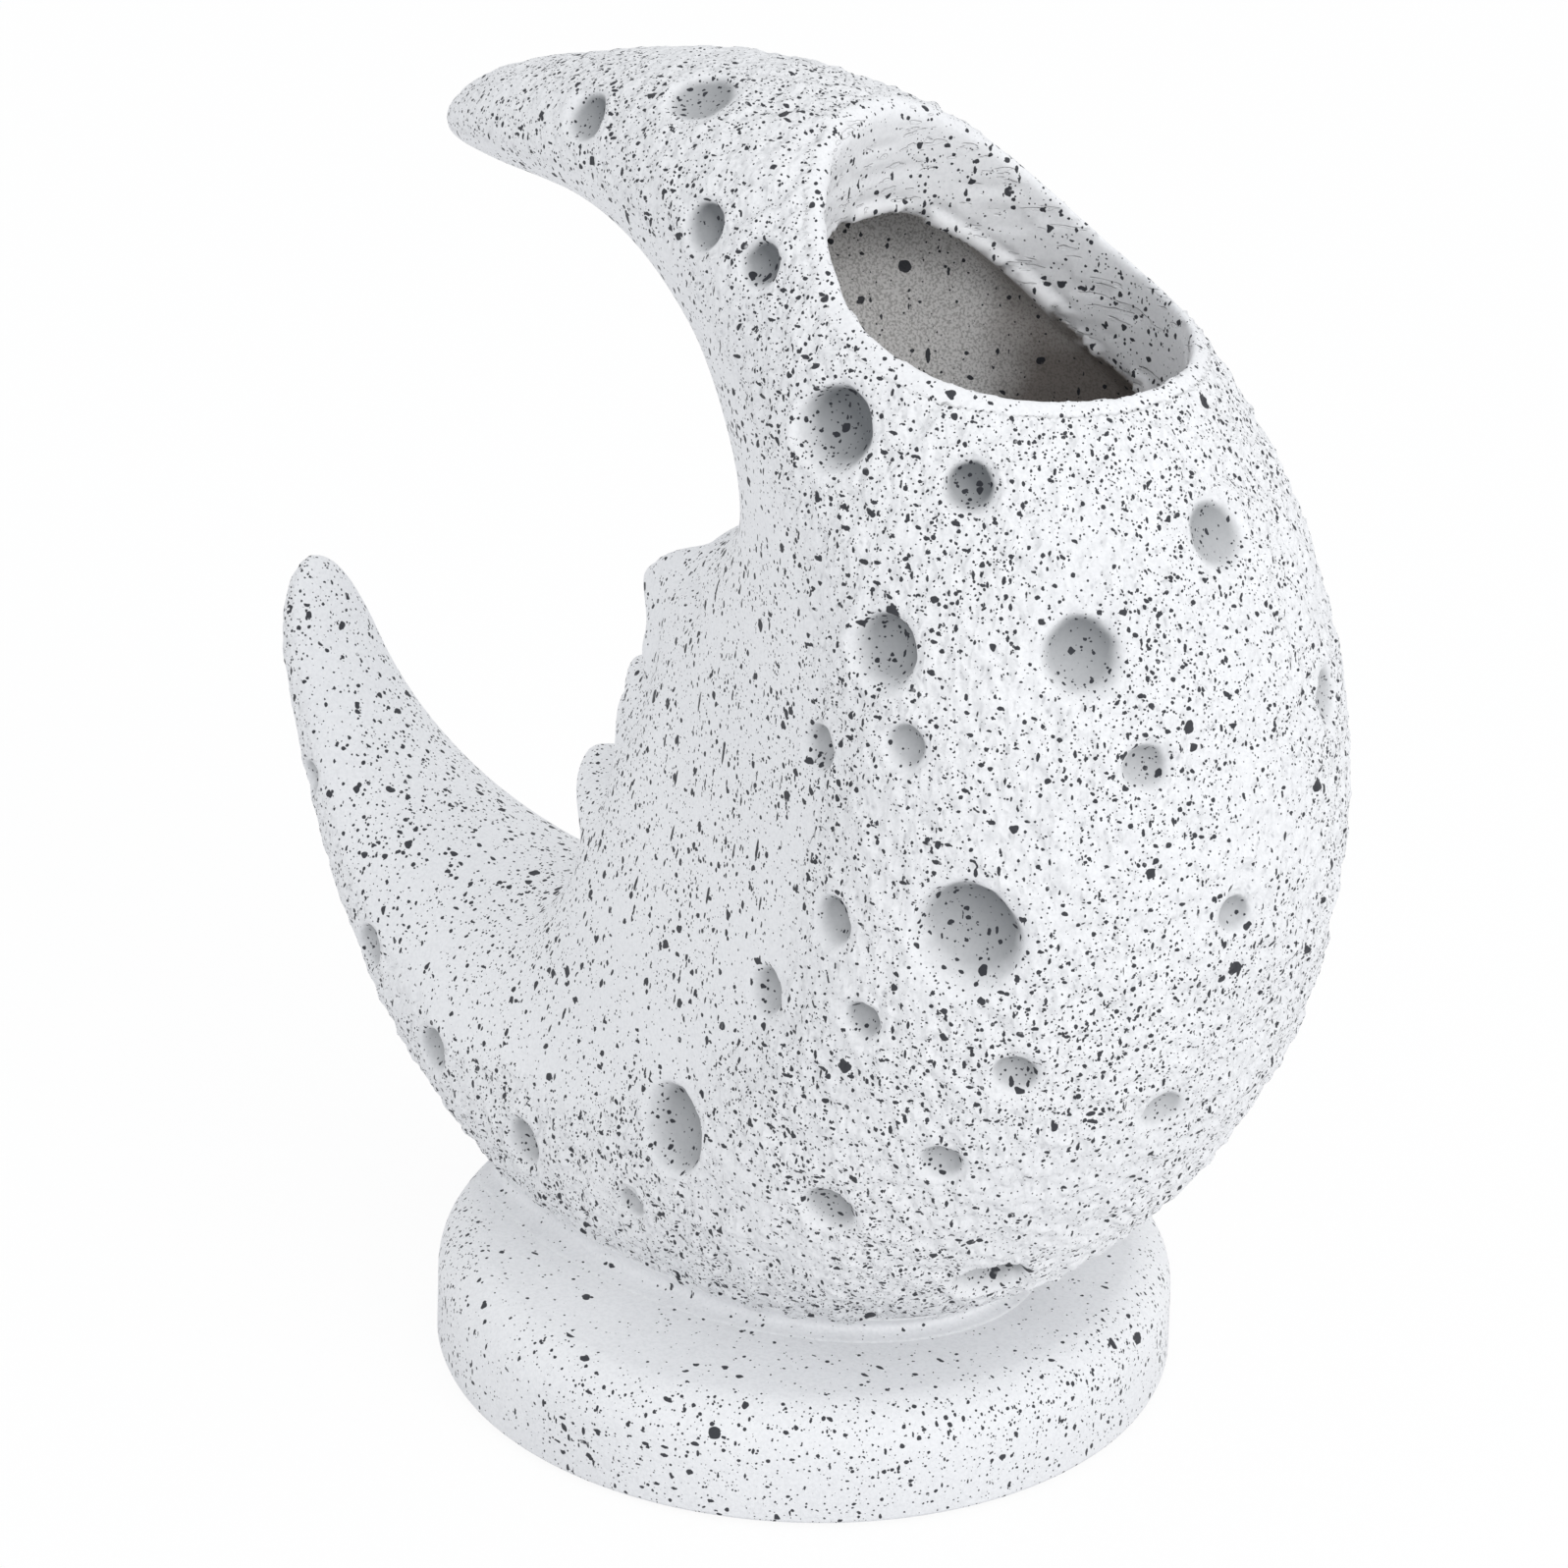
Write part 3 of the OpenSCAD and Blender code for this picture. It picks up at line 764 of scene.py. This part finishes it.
class Nodes:
    """A small helper that adds and links the shader nodes of a material or a world."""

    def __init__(self, owner):
        owner.use_nodes = True
        self.owner = owner
        self.tree = owner.node_tree
        self.shader = self.tree.nodes.get("Principled BSDF")

    def add(self, kind, inputs=None, **settings):
        node = self.tree.nodes.new(kind)
        for key, value in settings.items():
            setattr(node, key, value)
        for key, value in (inputs or {}).items():
            if isinstance(value, bpy.types.NodeSocket):
                self.tree.links.new(value, node.inputs[key])
            else:
                node.inputs[key].default_value = value
        return node

    def math(self, operation, a, b=0.0, c=0.0, clamp=False):
        inputs = {0: a, 1: b, 2: c}
        return self.add("ShaderNodeMath", inputs, operation=operation, use_clamp=clamp).outputs[0]

    def vector(self, operation, a, b, c=(0, 0, 0)):
        return self.add("ShaderNodeVectorMath", {0: a, 1: b, 2: c}, operation=operation).outputs[0]

    def ramp(self, value, low, high):
        return self.add("ShaderNodeMapRange", {"Value": value, "From Min": low, "From Max": high},
                        interpolation_type="SMOOTHSTEP").outputs["Result"]

    def mix(self, factor, a, b):
        return self.add("ShaderNodeMix", {0: factor, 6: a, 7: b}, data_type="RGBA").outputs[2]

    def noise(self, place, size, detail, roughness=0.5):
        inputs = {"Vector": place, "Scale": 1 / size, "Detail": detail, "Roughness": roughness}
        return self.add("ShaderNodeTexNoise", inputs).outputs["Fac"]

    def attribute(self, name):
        return self.add("ShaderNodeAttribute", attribute_name=name).outputs["Fac"]

    def link(self, value, socket):
        self.tree.links.new(value, self.shader.inputs[socket])

    def surface(self, roughness, specular, height, strength, distance):
        """The shader's gloss, and its bump from a height."""
        self.shader.inputs["Roughness"].default_value = roughness
        self.shader.inputs["Specular IOR Level"].default_value = specular
        inputs = {"Height": height, "Strength": strength, "Distance": distance * MM}
        self.link(self.add("ShaderNodeBump", inputs).outputs["Normal"], "Normal")


def object_mm(n):
    """Object coordinates in millimetres."""
    place = n.add("ShaderNodeTexCoord").outputs["Object"]
    return n.vector("MULTIPLY", place, (1 / MM, 1 / MM, 1 / MM))


def turned(n, place, angles, stretch):
    """The place turned and squeezed, so that round dots come out as short strokes."""
    return n.add("ShaderNodeMapping", {0: place, "Rotation": angles, "Scale": stretch}).outputs[0]


def warped(n, place, size, amount):
    """The place shaken by noise of a size, so that what is drawn there comes out ragged."""
    wobble = n.add("ShaderNodeTexNoise", {"Vector": place, "Scale": 1 / size, "Detail": 1.0})
    offset = n.vector("SUBTRACT", wobble.outputs["Color"], (0.5, 0.5, 0.5))
    return n.vector("MULTIPLY_ADD", offset, (amount, amount, amount), place)


def dots(n, place, cell, least, most, share, density, seed):
    """Dots in a share of cells of a size, with radii between least and most."""
    shifted = n.vector("ADD", place, (seed * 17.3, seed * 5.1, seed * 29.7))
    cells = n.add("ShaderNodeTexVoronoi", {"Vector": shifted, "Scale": 1 / cell, "Randomness": 0.95},
                  feature="F1", voronoi_dimensions="3D")
    parts = n.add("ShaderNodeSeparateColor", {0: cells.outputs["Color"]})
    chosen = n.math("LESS_THAN", parts.outputs[0], n.math("MULTIPLY", density, share))
    spread = n.math("MULTIPLY_ADD", n.math("POWER", parts.outputs[1], 1.6), most - least, least)
    inside = n.math("MULTIPLY_ADD", cells.outputs["Distance"], -cell, spread)
    return n.math("MULTIPLY", n.ramp(inside, 0.0, 0.06 + 0.05 * most), chosen)


# Layers of splatter: how ragged, the cells' size, least and most radius, share of cells, which density
# they follow, seed, and for strokes how the place is turned and squeezed
SPLATTER = (
    # pepper, drops and blots
    ("fine", 0.85, 0.14, 0.32, 0.88, "thick", 1, None),
    ("fine", 1.6, 0.28, 0.60, 0.52, "thick", 2, None),
    ("broad", 3.2, 0.45, 0.95, 0.36, "patchy", 3, None),
    ("broad", 8.0, 0.8, 1.6, 0.26, "patchy", 4, None),
    # strokes that lie three ways
    ("fine", 1.4, 0.20, 0.46, 0.52, "thick", 5, ((0.5, 0.3, 0.9), (1, 1, 0.40))),
    ("fine", 1.8, 0.22, 0.56, 0.46, "thick", 7, ((1.7, 0.4, 0.2), (0.42, 1, 1))),
    ("fine", 2.3, 0.13, 0.26, 0.26, "patchy", 8, ((0.9, 2.2, 0.4), (1, 1, 0.12))))
# On the moon's smooth side a few more drops, and drips that ran down
SMOOTH_SPLATTER = (
    ("broad", 5.0, 0.55, 1.10, 0.85, "smooth", 6, None),
    ("fine", 4.5, 0.36, 0.64, 0.85, "smooth", 9, ((0, 0, 0), (1, 1, 0.18))))
# How much thinner the splatter lies where a mask is 1
MOON_THINNED = {"collar": 0.30, "hollow": 0.60, "crater": 0.15}
PLINTH_THINNED = {"calm": 0.80}

CHARCOAL = (0.018, 0.020, 0.028, 1)
# painted shade in the pits of the chipped skin
PIT_SHADE_GREY = (0.34, 0.35, 0.38, 1)
GRAIN_GREY = (0.38, 0.39, 0.42, 1)
COLLAR_GREY = (0.40, 0.40, 0.42, 1)
# painted shade in the crater bowls
CRATER_SHADE_GREY = (0.175, 0.185, 0.195, 1)
LIP_PALE = (0.95, 0.95, 0.96, 1)
RAW_PALE = (0.95, 0.94, 0.93, 1)
# dark end of the hollow's wall, partly the raw resin's brown and partly painted shade
RAW_DARK = (0.29, 0.26, 0.24, 1)
RAW_GRIT = (0.10, 0.09, 0.085, 1)
# painted shadow under the collar's lower edge
RAW_LIP_SHADOW = (0.13, 0.115, 0.105, 1)
# Where the raw wall turns dark towards the ridge, partly painted shade, in clouds this deep, and the
# painted shadow under the collar towards the mouth
RAW_DARK_X = (31.0, 60.0)
RAW_CLOUD = 60.0
LIP_SHADOW_Z = (192.0, 228.0)
LIP_SHADOW_SHARE = 0.26


def splatter_density(n, place, thinned, share):
    """How dense the splatter lies: in patches, and thinner where the masks say so."""
    density = n.math("MULTIPLY", n.ramp(n.noise(place, 34, 2), 0.28, 0.68), 1.1)
    density = n.math("ADD", density, 0.45)
    for mask, less in thinned.items():
        density = n.math("MULTIPLY", density, n.math("MULTIPLY_ADD", n.attribute(mask), -less, 1.0))
    return n.math("MULTIPLY", density, share)


def splatter(n, place, densities, layers):
    """Where the charcoal paint lies, and how thick, from 0 to 1."""
    ragged = {"fine": warped(n, place, 0.8, 0.45), "broad": warped(n, place, 2.0, 1.7)}
    paint = 0.0
    for kind, cell, least, most, share, follows, seed, stroke in layers:
        ground = turned(n, ragged[kind], *stroke) if stroke else ragged[kind]
        mask = dots(n, ground, cell, least, most, share, densities[follows], seed)
        paint = n.math("MAXIMUM", paint, mask)
    strength = n.math("MULTIPLY", paint, n.ramp(n.noise(place, 1.9, 1), 0.06, 0.34))
    return n.math("MULTIPLY", strength, 0.97, clamp=True)


def chipped(n, place):
    """Distance field of the small chips in the stone-like skin."""
    ragged = warped(n, turned(n, place, (0.5, 0.3, 0.9), (1, 1, 0.55)), 2.6, 2.2)
    return n.add("ShaderNodeTexVoronoi", {"Vector": ragged, "Scale": 1 / 1.8, "Smoothness": 0.30},
                 feature="SMOOTH_F1", voronoi_dimensions="3D").outputs["Distance"]


def raw_wall_with_shade(n, place):
    """The hollow's bare, gritty wall: pale towards the face and darker towards the ridge, partly the raw
    resin's brown and partly painted shade, with a painted shadow on top under the collar.
    """
    axes = n.add("ShaderNodeSeparateXYZ", {0: place})
    # painted shade: the wall darkens towards the ridge, in clouds
    along = n.math("MULTIPLY_ADD", n.noise(place, 26, 2), RAW_CLOUD, axes.outputs["X"])
    wall = n.mix(n.ramp(along, *RAW_DARK_X), RAW_PALE, RAW_DARK)
    grit = n.ramp(n.noise(place, 0.5, 2), 0.58, 0.34)
    wall = n.mix(n.math("MULTIPLY", grit, 0.5), wall, RAW_GRIT)
    # painted shadow under the collar's lower edge, darker higher up
    lip_shadow = n.ramp(axes.outputs["Z"], *LIP_SHADOW_Z)
    return n.mix(n.math("MULTIPLY", lip_shadow, LIP_SHADOW_SHARE), wall, RAW_LIP_SHADOW)


def speckled(name, base, density_share, stone):
    """Pale matte resin with charcoal splatter. stone adds what the moon's masks place on it: the
    chipped skin with painted shade in its pits, the collar, the raw hollow with its painted shade and
    shadow and its torn lip, and painted shade in the craters."""
    n = Nodes(bpy.data.materials.new(name))
    place = object_mm(n)
    patchy = splatter_density(n, place, MOON_THINNED if stone else PLINTH_THINNED, density_share)
    if stone:
        rough, collar = n.attribute("rough"), n.attribute("collar")
        thick = n.math("MULTIPLY", patchy, n.math("MULTIPLY_ADD", rough, 0.48, 0.52))
        smooth = n.math("MULTIPLY", patchy, n.math("SUBTRACT", 1.0, rough))
        densities = {"patchy": patchy, "thick": thick, "smooth": smooth}
        paint = splatter(n, place, densities, SPLATTER + SMOOTH_SPLATTER)
    else:
        paint = splatter(n, place, {"patchy": patchy, "thick": patchy}, SPLATTER)
    pale, cool = base
    ground = n.mix(n.ramp(n.noise(place, 48, 3), 0.3, 0.7), (*pale, 1), (*cool, 1))
    if stone:
        chips = chipped(n, place)
        # painted shade: the pits of the chipped skin are greyed where the skin is rough
        pits = n.math("MULTIPLY", n.ramp(chips, 0.26, 0.08), n.math("MULTIPLY", rough, 0.42))
        ground = n.mix(pits, ground, PIT_SHADE_GREY)
    grain = n.ramp(n.noise(place, 0.8, 2), 0.30, 0.62)
    ground = n.mix(n.math("MULTIPLY_ADD", grain, -0.12, 0.12), ground, GRAIN_GREY)
    if stone:
        ground = n.mix(n.math("MULTIPLY", collar, 0.06), ground, COLLAR_GREY)
        ground = n.mix(n.attribute("hollow"), ground, raw_wall_with_shade(n, place))
        ground = n.mix(n.attribute("lip"), ground, LIP_PALE)
        # painted shade in the crater bowls, darkest on the wall away from the light
        ground = n.mix(n.math("MULTIPLY", n.attribute("crater"), 0.92), ground, CRATER_SHADE_GREY)
    n.link(n.mix(paint, ground, CHARCOAL), "Base Color")
    bump = n.math("MULTIPLY", n.noise(place, 0.9, 4, 0.6), 0.35)
    if stone:
        bump = n.math("MULTIPLY_ADD", n.math("MULTIPLY", chips, rough), 1.6, bump)
        bump = n.math("MULTIPLY", bump, n.math("MULTIPLY_ADD", rough, 0.80, 0.20))
        # strokes of the tool that smoothed the collar
        streaks = n.noise(turned(n, place, (0.3, 0.5, 0.2), (0.35, 1, 3.0)), 5, 2)
        scored = n.math("MULTIPLY", n.ramp(streaks, 0.60, 0.64), collar)
        bump = n.math("MULTIPLY_ADD", scored, -0.7, bump)
    n.surface(roughness=0.62, specular=0.32, height=bump, strength=1.0, distance=0.42)
    return n.owner


def rubber(name, dark, grain_size):
    """Matte rubber, mottled between its colour and a lighter one."""
    n = Nodes(bpy.data.materials.new(name))
    grain = n.noise(object_mm(n), grain_size, 3)
    light = tuple(1.9 * c for c in dark)
    n.link(n.mix(n.ramp(grain, 0.3, 0.7), (*dark, 1), (*light, 1)), "Base Color")
    n.surface(roughness=0.72, specular=0.35, height=grain, strength=0.5, distance=0.2)
    return n.owner


def dress(piece, material):
    piece.data.materials.clear()
    piece.data.materials.append(material)
    return piece


def plinth_top(r):
    """Height of the plinth's top surface at a radius, down over its rounded edge."""
    over = np.clip(r - (PLINTH_R - EDGE_R), 0, EDGE_R)
    return PLINTH_H - EDGE_R + np.sqrt(np.maximum(0, EDGE_R ** 2 - over ** 2))


# Distances from the foot's centre that lie inside the moon's skin and outside of it
FOOT_UNDER = 5
FOOT_OVER = 110


def foot_reach(theta, height):
    """How far the moon's skin lies from the foot's centre, by direction and height over the plinth."""

    def inside(out):
        x, y = MOON_X + out * np.cos(theta), out * np.sin(theta)
        z = plinth_top(np.hypot(x, y)) + height
        return skin_level(np.stack([x, y, z], -1)) < 1

    return last_inside(inside, FOOT_UNDER, FOOT_OVER, len(theta))


# Bond cove: height and width at its narrowest, and what they gain where the plinth's top is broad;
# and how deep its hidden edges sit in the castings
COVE_RISE = 0.6
COVE_RISE_MORE = 4.6
COVE_RUN = 0.8
COVE_RUN_MORE = 7.5
COVE_SUNK = 0.4


def make_bond():
    """The cove of smooth resin that runs from the plinth's top up to the moon's skin."""
    around = 240
    theta = np.linspace(0, 2 * math.pi, around, endpoint=False)
    seam = foot_reach(theta, 0)
    x, y = MOON_X + seam * np.cos(theta), seam * np.sin(theta)
    fade = 1 - ramp(np.hypot(x, y), 66, 77)
    uneven = 1 + 0.12 * noise(np.stack([x, y, 0 * x], -1), 17, 51)
    rise = (COVE_RISE + COVE_RISE_MORE * fade) * uneven
    run = COVE_RUN + COVE_RUN_MORE * fade
    top = foot_reach(theta, rise)

    def place(reach_out, height):
        px, py = MOON_X + reach_out * np.cos(theta), reach_out * np.sin(theta)
        return np.stack([px, py, plinth_top(np.hypot(px, py)) + height], -1)

    # the hidden back, in the plinth and in the moon
    rows = [place(seam - 5, np.full(around, -COVE_SUNK)), place(top - 2.0, rise - COVE_SUNK)]
    rows.append(place(top - 0.3, rise + 0.15))
    for t in np.linspace(0.04, 1, 16):
        # a curve from the skin down to the seam and out along the plinth
        out = (1 - t) ** 2 * (top + 0.35) + 2 * t * (1 - t) * (seam + 0.4) + t * t * (seam + run)
        up = (1 - t) ** 2 * rise + 2 * t * (1 - t) * 0.25
        rows.append(place(out, up))
    rows.append(place(seam + run, np.full(around, -COVE_SUNK)))
    n = len(rows)
    faces = []
    for i in range(n):
        m = (i + 1) % n
        for j in range(around):
            k = (j + 1) % around
            faces.append((i * around + j, m * around + j, m * around + k, i * around + k))
    piece = new_piece("bond_cove", np.concatenate(rows), faces)
    set_attribute(piece.data, "calm", np.ones(len(piece.data.vertices)))
    return piece


def make_plinth():
    """The plinth's casting: recess, drain bore, the foot's groove, and a side that swells a little."""
    edge_x = PLINTH_R - EDGE_R
    recess_z = FOOT_PROUD + RECESS_D
    outline = [(DRAIN_R, PLINTH_H), (DRAIN_R, recess_z + DRAIN_BEVEL), (DRAIN_R + DRAIN_BEVEL, recess_z)]
    outline += [(RECESS_R * k / 4, recess_z) for k in (1, 2, 3)]
    outline += [(RECESS_R - RECESS_BEVEL, recess_z), (RECESS_R, recess_z - RECESS_BEVEL)]
    outline += [(RECESS_R, FOOT_PROUD + 1), (RECESS_R + 1, FOOT_PROUD)]
    outline += [(FOOT_R - FOOT_W, FOOT_PROUD), (FOOT_R - FOOT_W, FOOT_T)]
    outline += [(FOOT_R, FOOT_T), (FOOT_R, FOOT_PROUD)]
    outline += plinth_outline(steps=28)
    outline += [(edge_x * k / 12, PLINTH_H) for k in range(11, 1, -1)]
    piece = revolved("plinth_casting", outline, around=288)
    points = points_of(piece.data)
    r = np.hypot(points[:, 0], points[:, 1])
    body = ramp(r, 30, 60) * ramp(points[:, 2], 3, 8)
    swell = 0.28 * noise(points, 38, 31) + 0.10 * noise(points, 15, 32) - 0.25
    side = ramp(r, edge_x - 4, PLINTH_R - 2)
    out = points / np.maximum(r, 1)[:, None]
    out[:, 2] = 0
    points = points + out * (swell * body * side)[:, None]
    points[:, 2] -= np.maximum(0, -swell * 0.4 * body * (1 - side)) * (points[:, 2] > 20)
    put_points(piece.data, points)
    set_attribute(piece.data, "calm", 1 - ramp(r, edge_x - 1, edge_x + 6))
    return piece


def stem_outline(corners, edge):
    """An outline through corners of radius and height, all but its ends rounded by an edge radius."""
    corners = np.array(corners, float)
    outline = [tuple(corners[0])]
    for before, corner, after in zip(corners, corners[1:], corners[2:]):
        to_before, to_after = before - corner, after - corner
        size = min(edge, np.linalg.norm(to_before) * 0.45, np.linalg.norm(to_after) * 0.45)
        start = corner + to_before / np.linalg.norm(to_before) * size
        stop = corner + to_after / np.linalg.norm(to_after) * size
        for t in np.linspace(0, 1, 5):
            outline.append(tuple((1 - t) ** 2 * start + 2 * t * (1 - t) * corner + t * t * stop))
    return outline + [tuple(corners[-1])]


def make_plug():
    """The rubber bung: a grooved stem, a flange that seats in the recess, and a pull knob."""
    seat = FOOT_PROUD + RECESS_D
    stem, top = DRAIN_R - PLUG_CLEAR, seat + PLUG_L
    under = seat - PLUG_FLANGE_T
    knob = under - PLUG_KNOB_L
    corners = [(AXIS_R, top), (stem - 1.0, top), (stem, top - 1.4)]
    for k in range(PLUG_GROOVES):
        groove = top - 3.0 - PLUG_GROOVE_PITCH * k
        corners += [(stem, groove), (stem - PLUG_GROOVE_D, groove - PLUG_GROOVE_D)]
        corners.append((stem, groove - 2 * PLUG_GROOVE_D))
    corners += [(stem, seat), (PLUG_FLANGE_R, seat), (PLUG_FLANGE_R, under), (PLUG_NECK_R, under)]
    corners += [(PLUG_NECK_R, under - 0.9), (PLUG_KNOB_R, under - 1.3)]
    corners += [(PLUG_KNOB_R, knob), (AXIS_R, knob)]
    return revolved("drain_bung", stem_outline(corners, edge=0.5), around=96)


def make_foot():
    """The foam ring: soft edges, and a face that took up the grain of what it stands on."""
    outer, inner = FOOT_R - PLUG_CLEAR, FOOT_R - FOOT_W + PLUG_CLEAR
    steps = np.linspace(0, 1, 15)[1:-1]
    corners = [(inner, FOOT_T)] + [(inner + (outer - inner) * s, FOOT_T) for s in steps]
    corners += [(outer, FOOT_T), (outer, 0)] + [(outer + (inner - outer) * s, 0) for s in steps]
    corners += [(inner, 0), (inner, FOOT_T)]
    piece = revolved("foot_pad", stem_outline(corners, edge=0.45)[:-1], around=320)
    points = points_of(piece.data)
    r = np.hypot(points[:, 0], points[:, 1])
    face = ramp(r, inner + 0.4, inner + 1.6) * (1 - ramp(r, outer - 1.6, outer - 0.4))
    face = face * (points[:, 2] < 0.3)
    points[:, 2] += face * 0.10 * ramp(noise(points, 2.6, 61), -0.2, 0.9)
    put_points(piece.data, points)
    return piece


# A soft studio: brighter from the ridge's side and the front than from the horns' side
BRIGHT_SIDE = Vector((0.86, -0.34, 0.30)).normalized()
DIM_LEVEL = 0.83
BRIGHT_LEVEL = 1.11
SKY = (0.972, 0.985, 1.0, 1)
WHITE = (1, 1, 1, 1)
FLOOR_HALF = 9000
# How much of the floor is its own white where the camera sees it, the rest takes the object's shadow
FLOOR_GLOW = 0.92
FLOOR_LIT = (0.84, 0.84, 0.85, 1)
FLOOR_SEEN = (0.98, 0.98, 0.98, 1)


def add_floor():
    corners = [(-1, -1, 0), (1, -1, 0), (1, 1, 0), (-1, 1, 0)]
    floor = new_piece("floor", np.array(corners) * FLOOR_HALF, [(0, 1, 2, 3)], smooth=False)
    n = Nodes(bpy.data.materials.new("floor_white"))
    n.shader.inputs["Roughness"].default_value = 0.9
    path = n.add("ShaderNodeLightPath")
    seen = n.math("MAXIMUM", path.outputs["Is Camera Ray"], path.outputs["Is Glossy Ray"])
    n.link(n.mix(seen, FLOOR_LIT, FLOOR_SEEN), "Base Color")
    glow = n.add("ShaderNodeEmission", {"Color": WHITE, "Strength": 1.0}).outputs[0]
    share = n.math("MULTIPLY", seen, FLOOR_GLOW)
    mixed = n.add("ShaderNodeMixShader", {0: share, 1: n.shader.outputs[0], 2: glow})
    n.tree.links.new(mixed.outputs[0], n.tree.nodes["Material Output"].inputs["Surface"])
    dress(floor, n.owner)


def add_world():
    world = bpy.context.scene.world or bpy.data.worlds.new("studio")
    bpy.context.scene.world = world
    n = Nodes(world)
    n.tree.nodes.clear()
    way = n.add("ShaderNodeTexCoord").outputs["Generated"]
    facing = n.add("ShaderNodeVectorMath", {0: way, 1: BRIGHT_SIDE}, operation="DOT_PRODUCT")
    level = n.add("ShaderNodeMapRange", {"Value": facing.outputs["Value"], "From Min": -0.2,
                                         "From Max": 1.0, "To Min": DIM_LEVEL, "To Max": BRIGHT_LEVEL})
    lit = n.add("ShaderNodeBackground", {"Color": SKY, "Strength": level.outputs["Result"]}).outputs[0]
    white = n.add("ShaderNodeBackground", {"Color": WHITE, "Strength": 1.0}).outputs[0]
    seen = n.add("ShaderNodeLightPath").outputs["Is Camera Ray"]
    mixed = n.add("ShaderNodeMixShader", {0: seen, 1: lit, 2: white}).outputs[0]
    n.add("ShaderNodeOutputWorld", {"Surface": mixed})


LAMP_AIM_Z = 140


def add_lamp(name, place, size, power, colour):
    data = bpy.data.lights.new(name, "AREA")
    data.shape = "DISK"
    data.size = size * MM
    data.energy = power
    data.color = colour
    light = bpy.data.objects.new(name, data)
    light.location = Vector(place) * MM
    aim = Vector((0, 0, LAMP_AIM_Z)) * MM - light.location
    light.rotation_mode = "QUATERNION"
    light.rotation_quaternion = aim.to_track_quat("-Z", "Y")
    bpy.context.scene.collection.objects.link(light)


bpy.context.scene.view_settings.view_transform = "Standard"
add_camera()
add_floor()
add_world()
add_lamp("key", place=(1700, -250, 900), size=700, power=6, colour=(1.0, 0.99, 0.975))

RESIN = ((0.880, 0.886, 0.900), (0.845, 0.852, 0.868))
moon = dress(make_moon(), speckled("speckled_stone_resin", RESIN, 1.0, stone=True))
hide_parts("moon_shell")
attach(moon, "planter")

plinth = dress(make_plinth(), speckled("speckled_smooth_resin", RESIN, 0.55, stone=False))
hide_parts("base_plinth")
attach(plinth, "planter")

bond = dress(make_bond(), plinth.data.materials[0])
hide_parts("foot_bond")
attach(bond, "planter")

plug = dress(make_plug(), rubber("plug_rubber", (0.030, 0.030, 0.033), 0.9))
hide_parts("drain_plug")
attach(plug, "plug")

foot = dress(make_foot(), rubber("foot_foam", (0.042, 0.042, 0.045), 0.6))
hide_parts("foot_ring")
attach(foot, "planter")
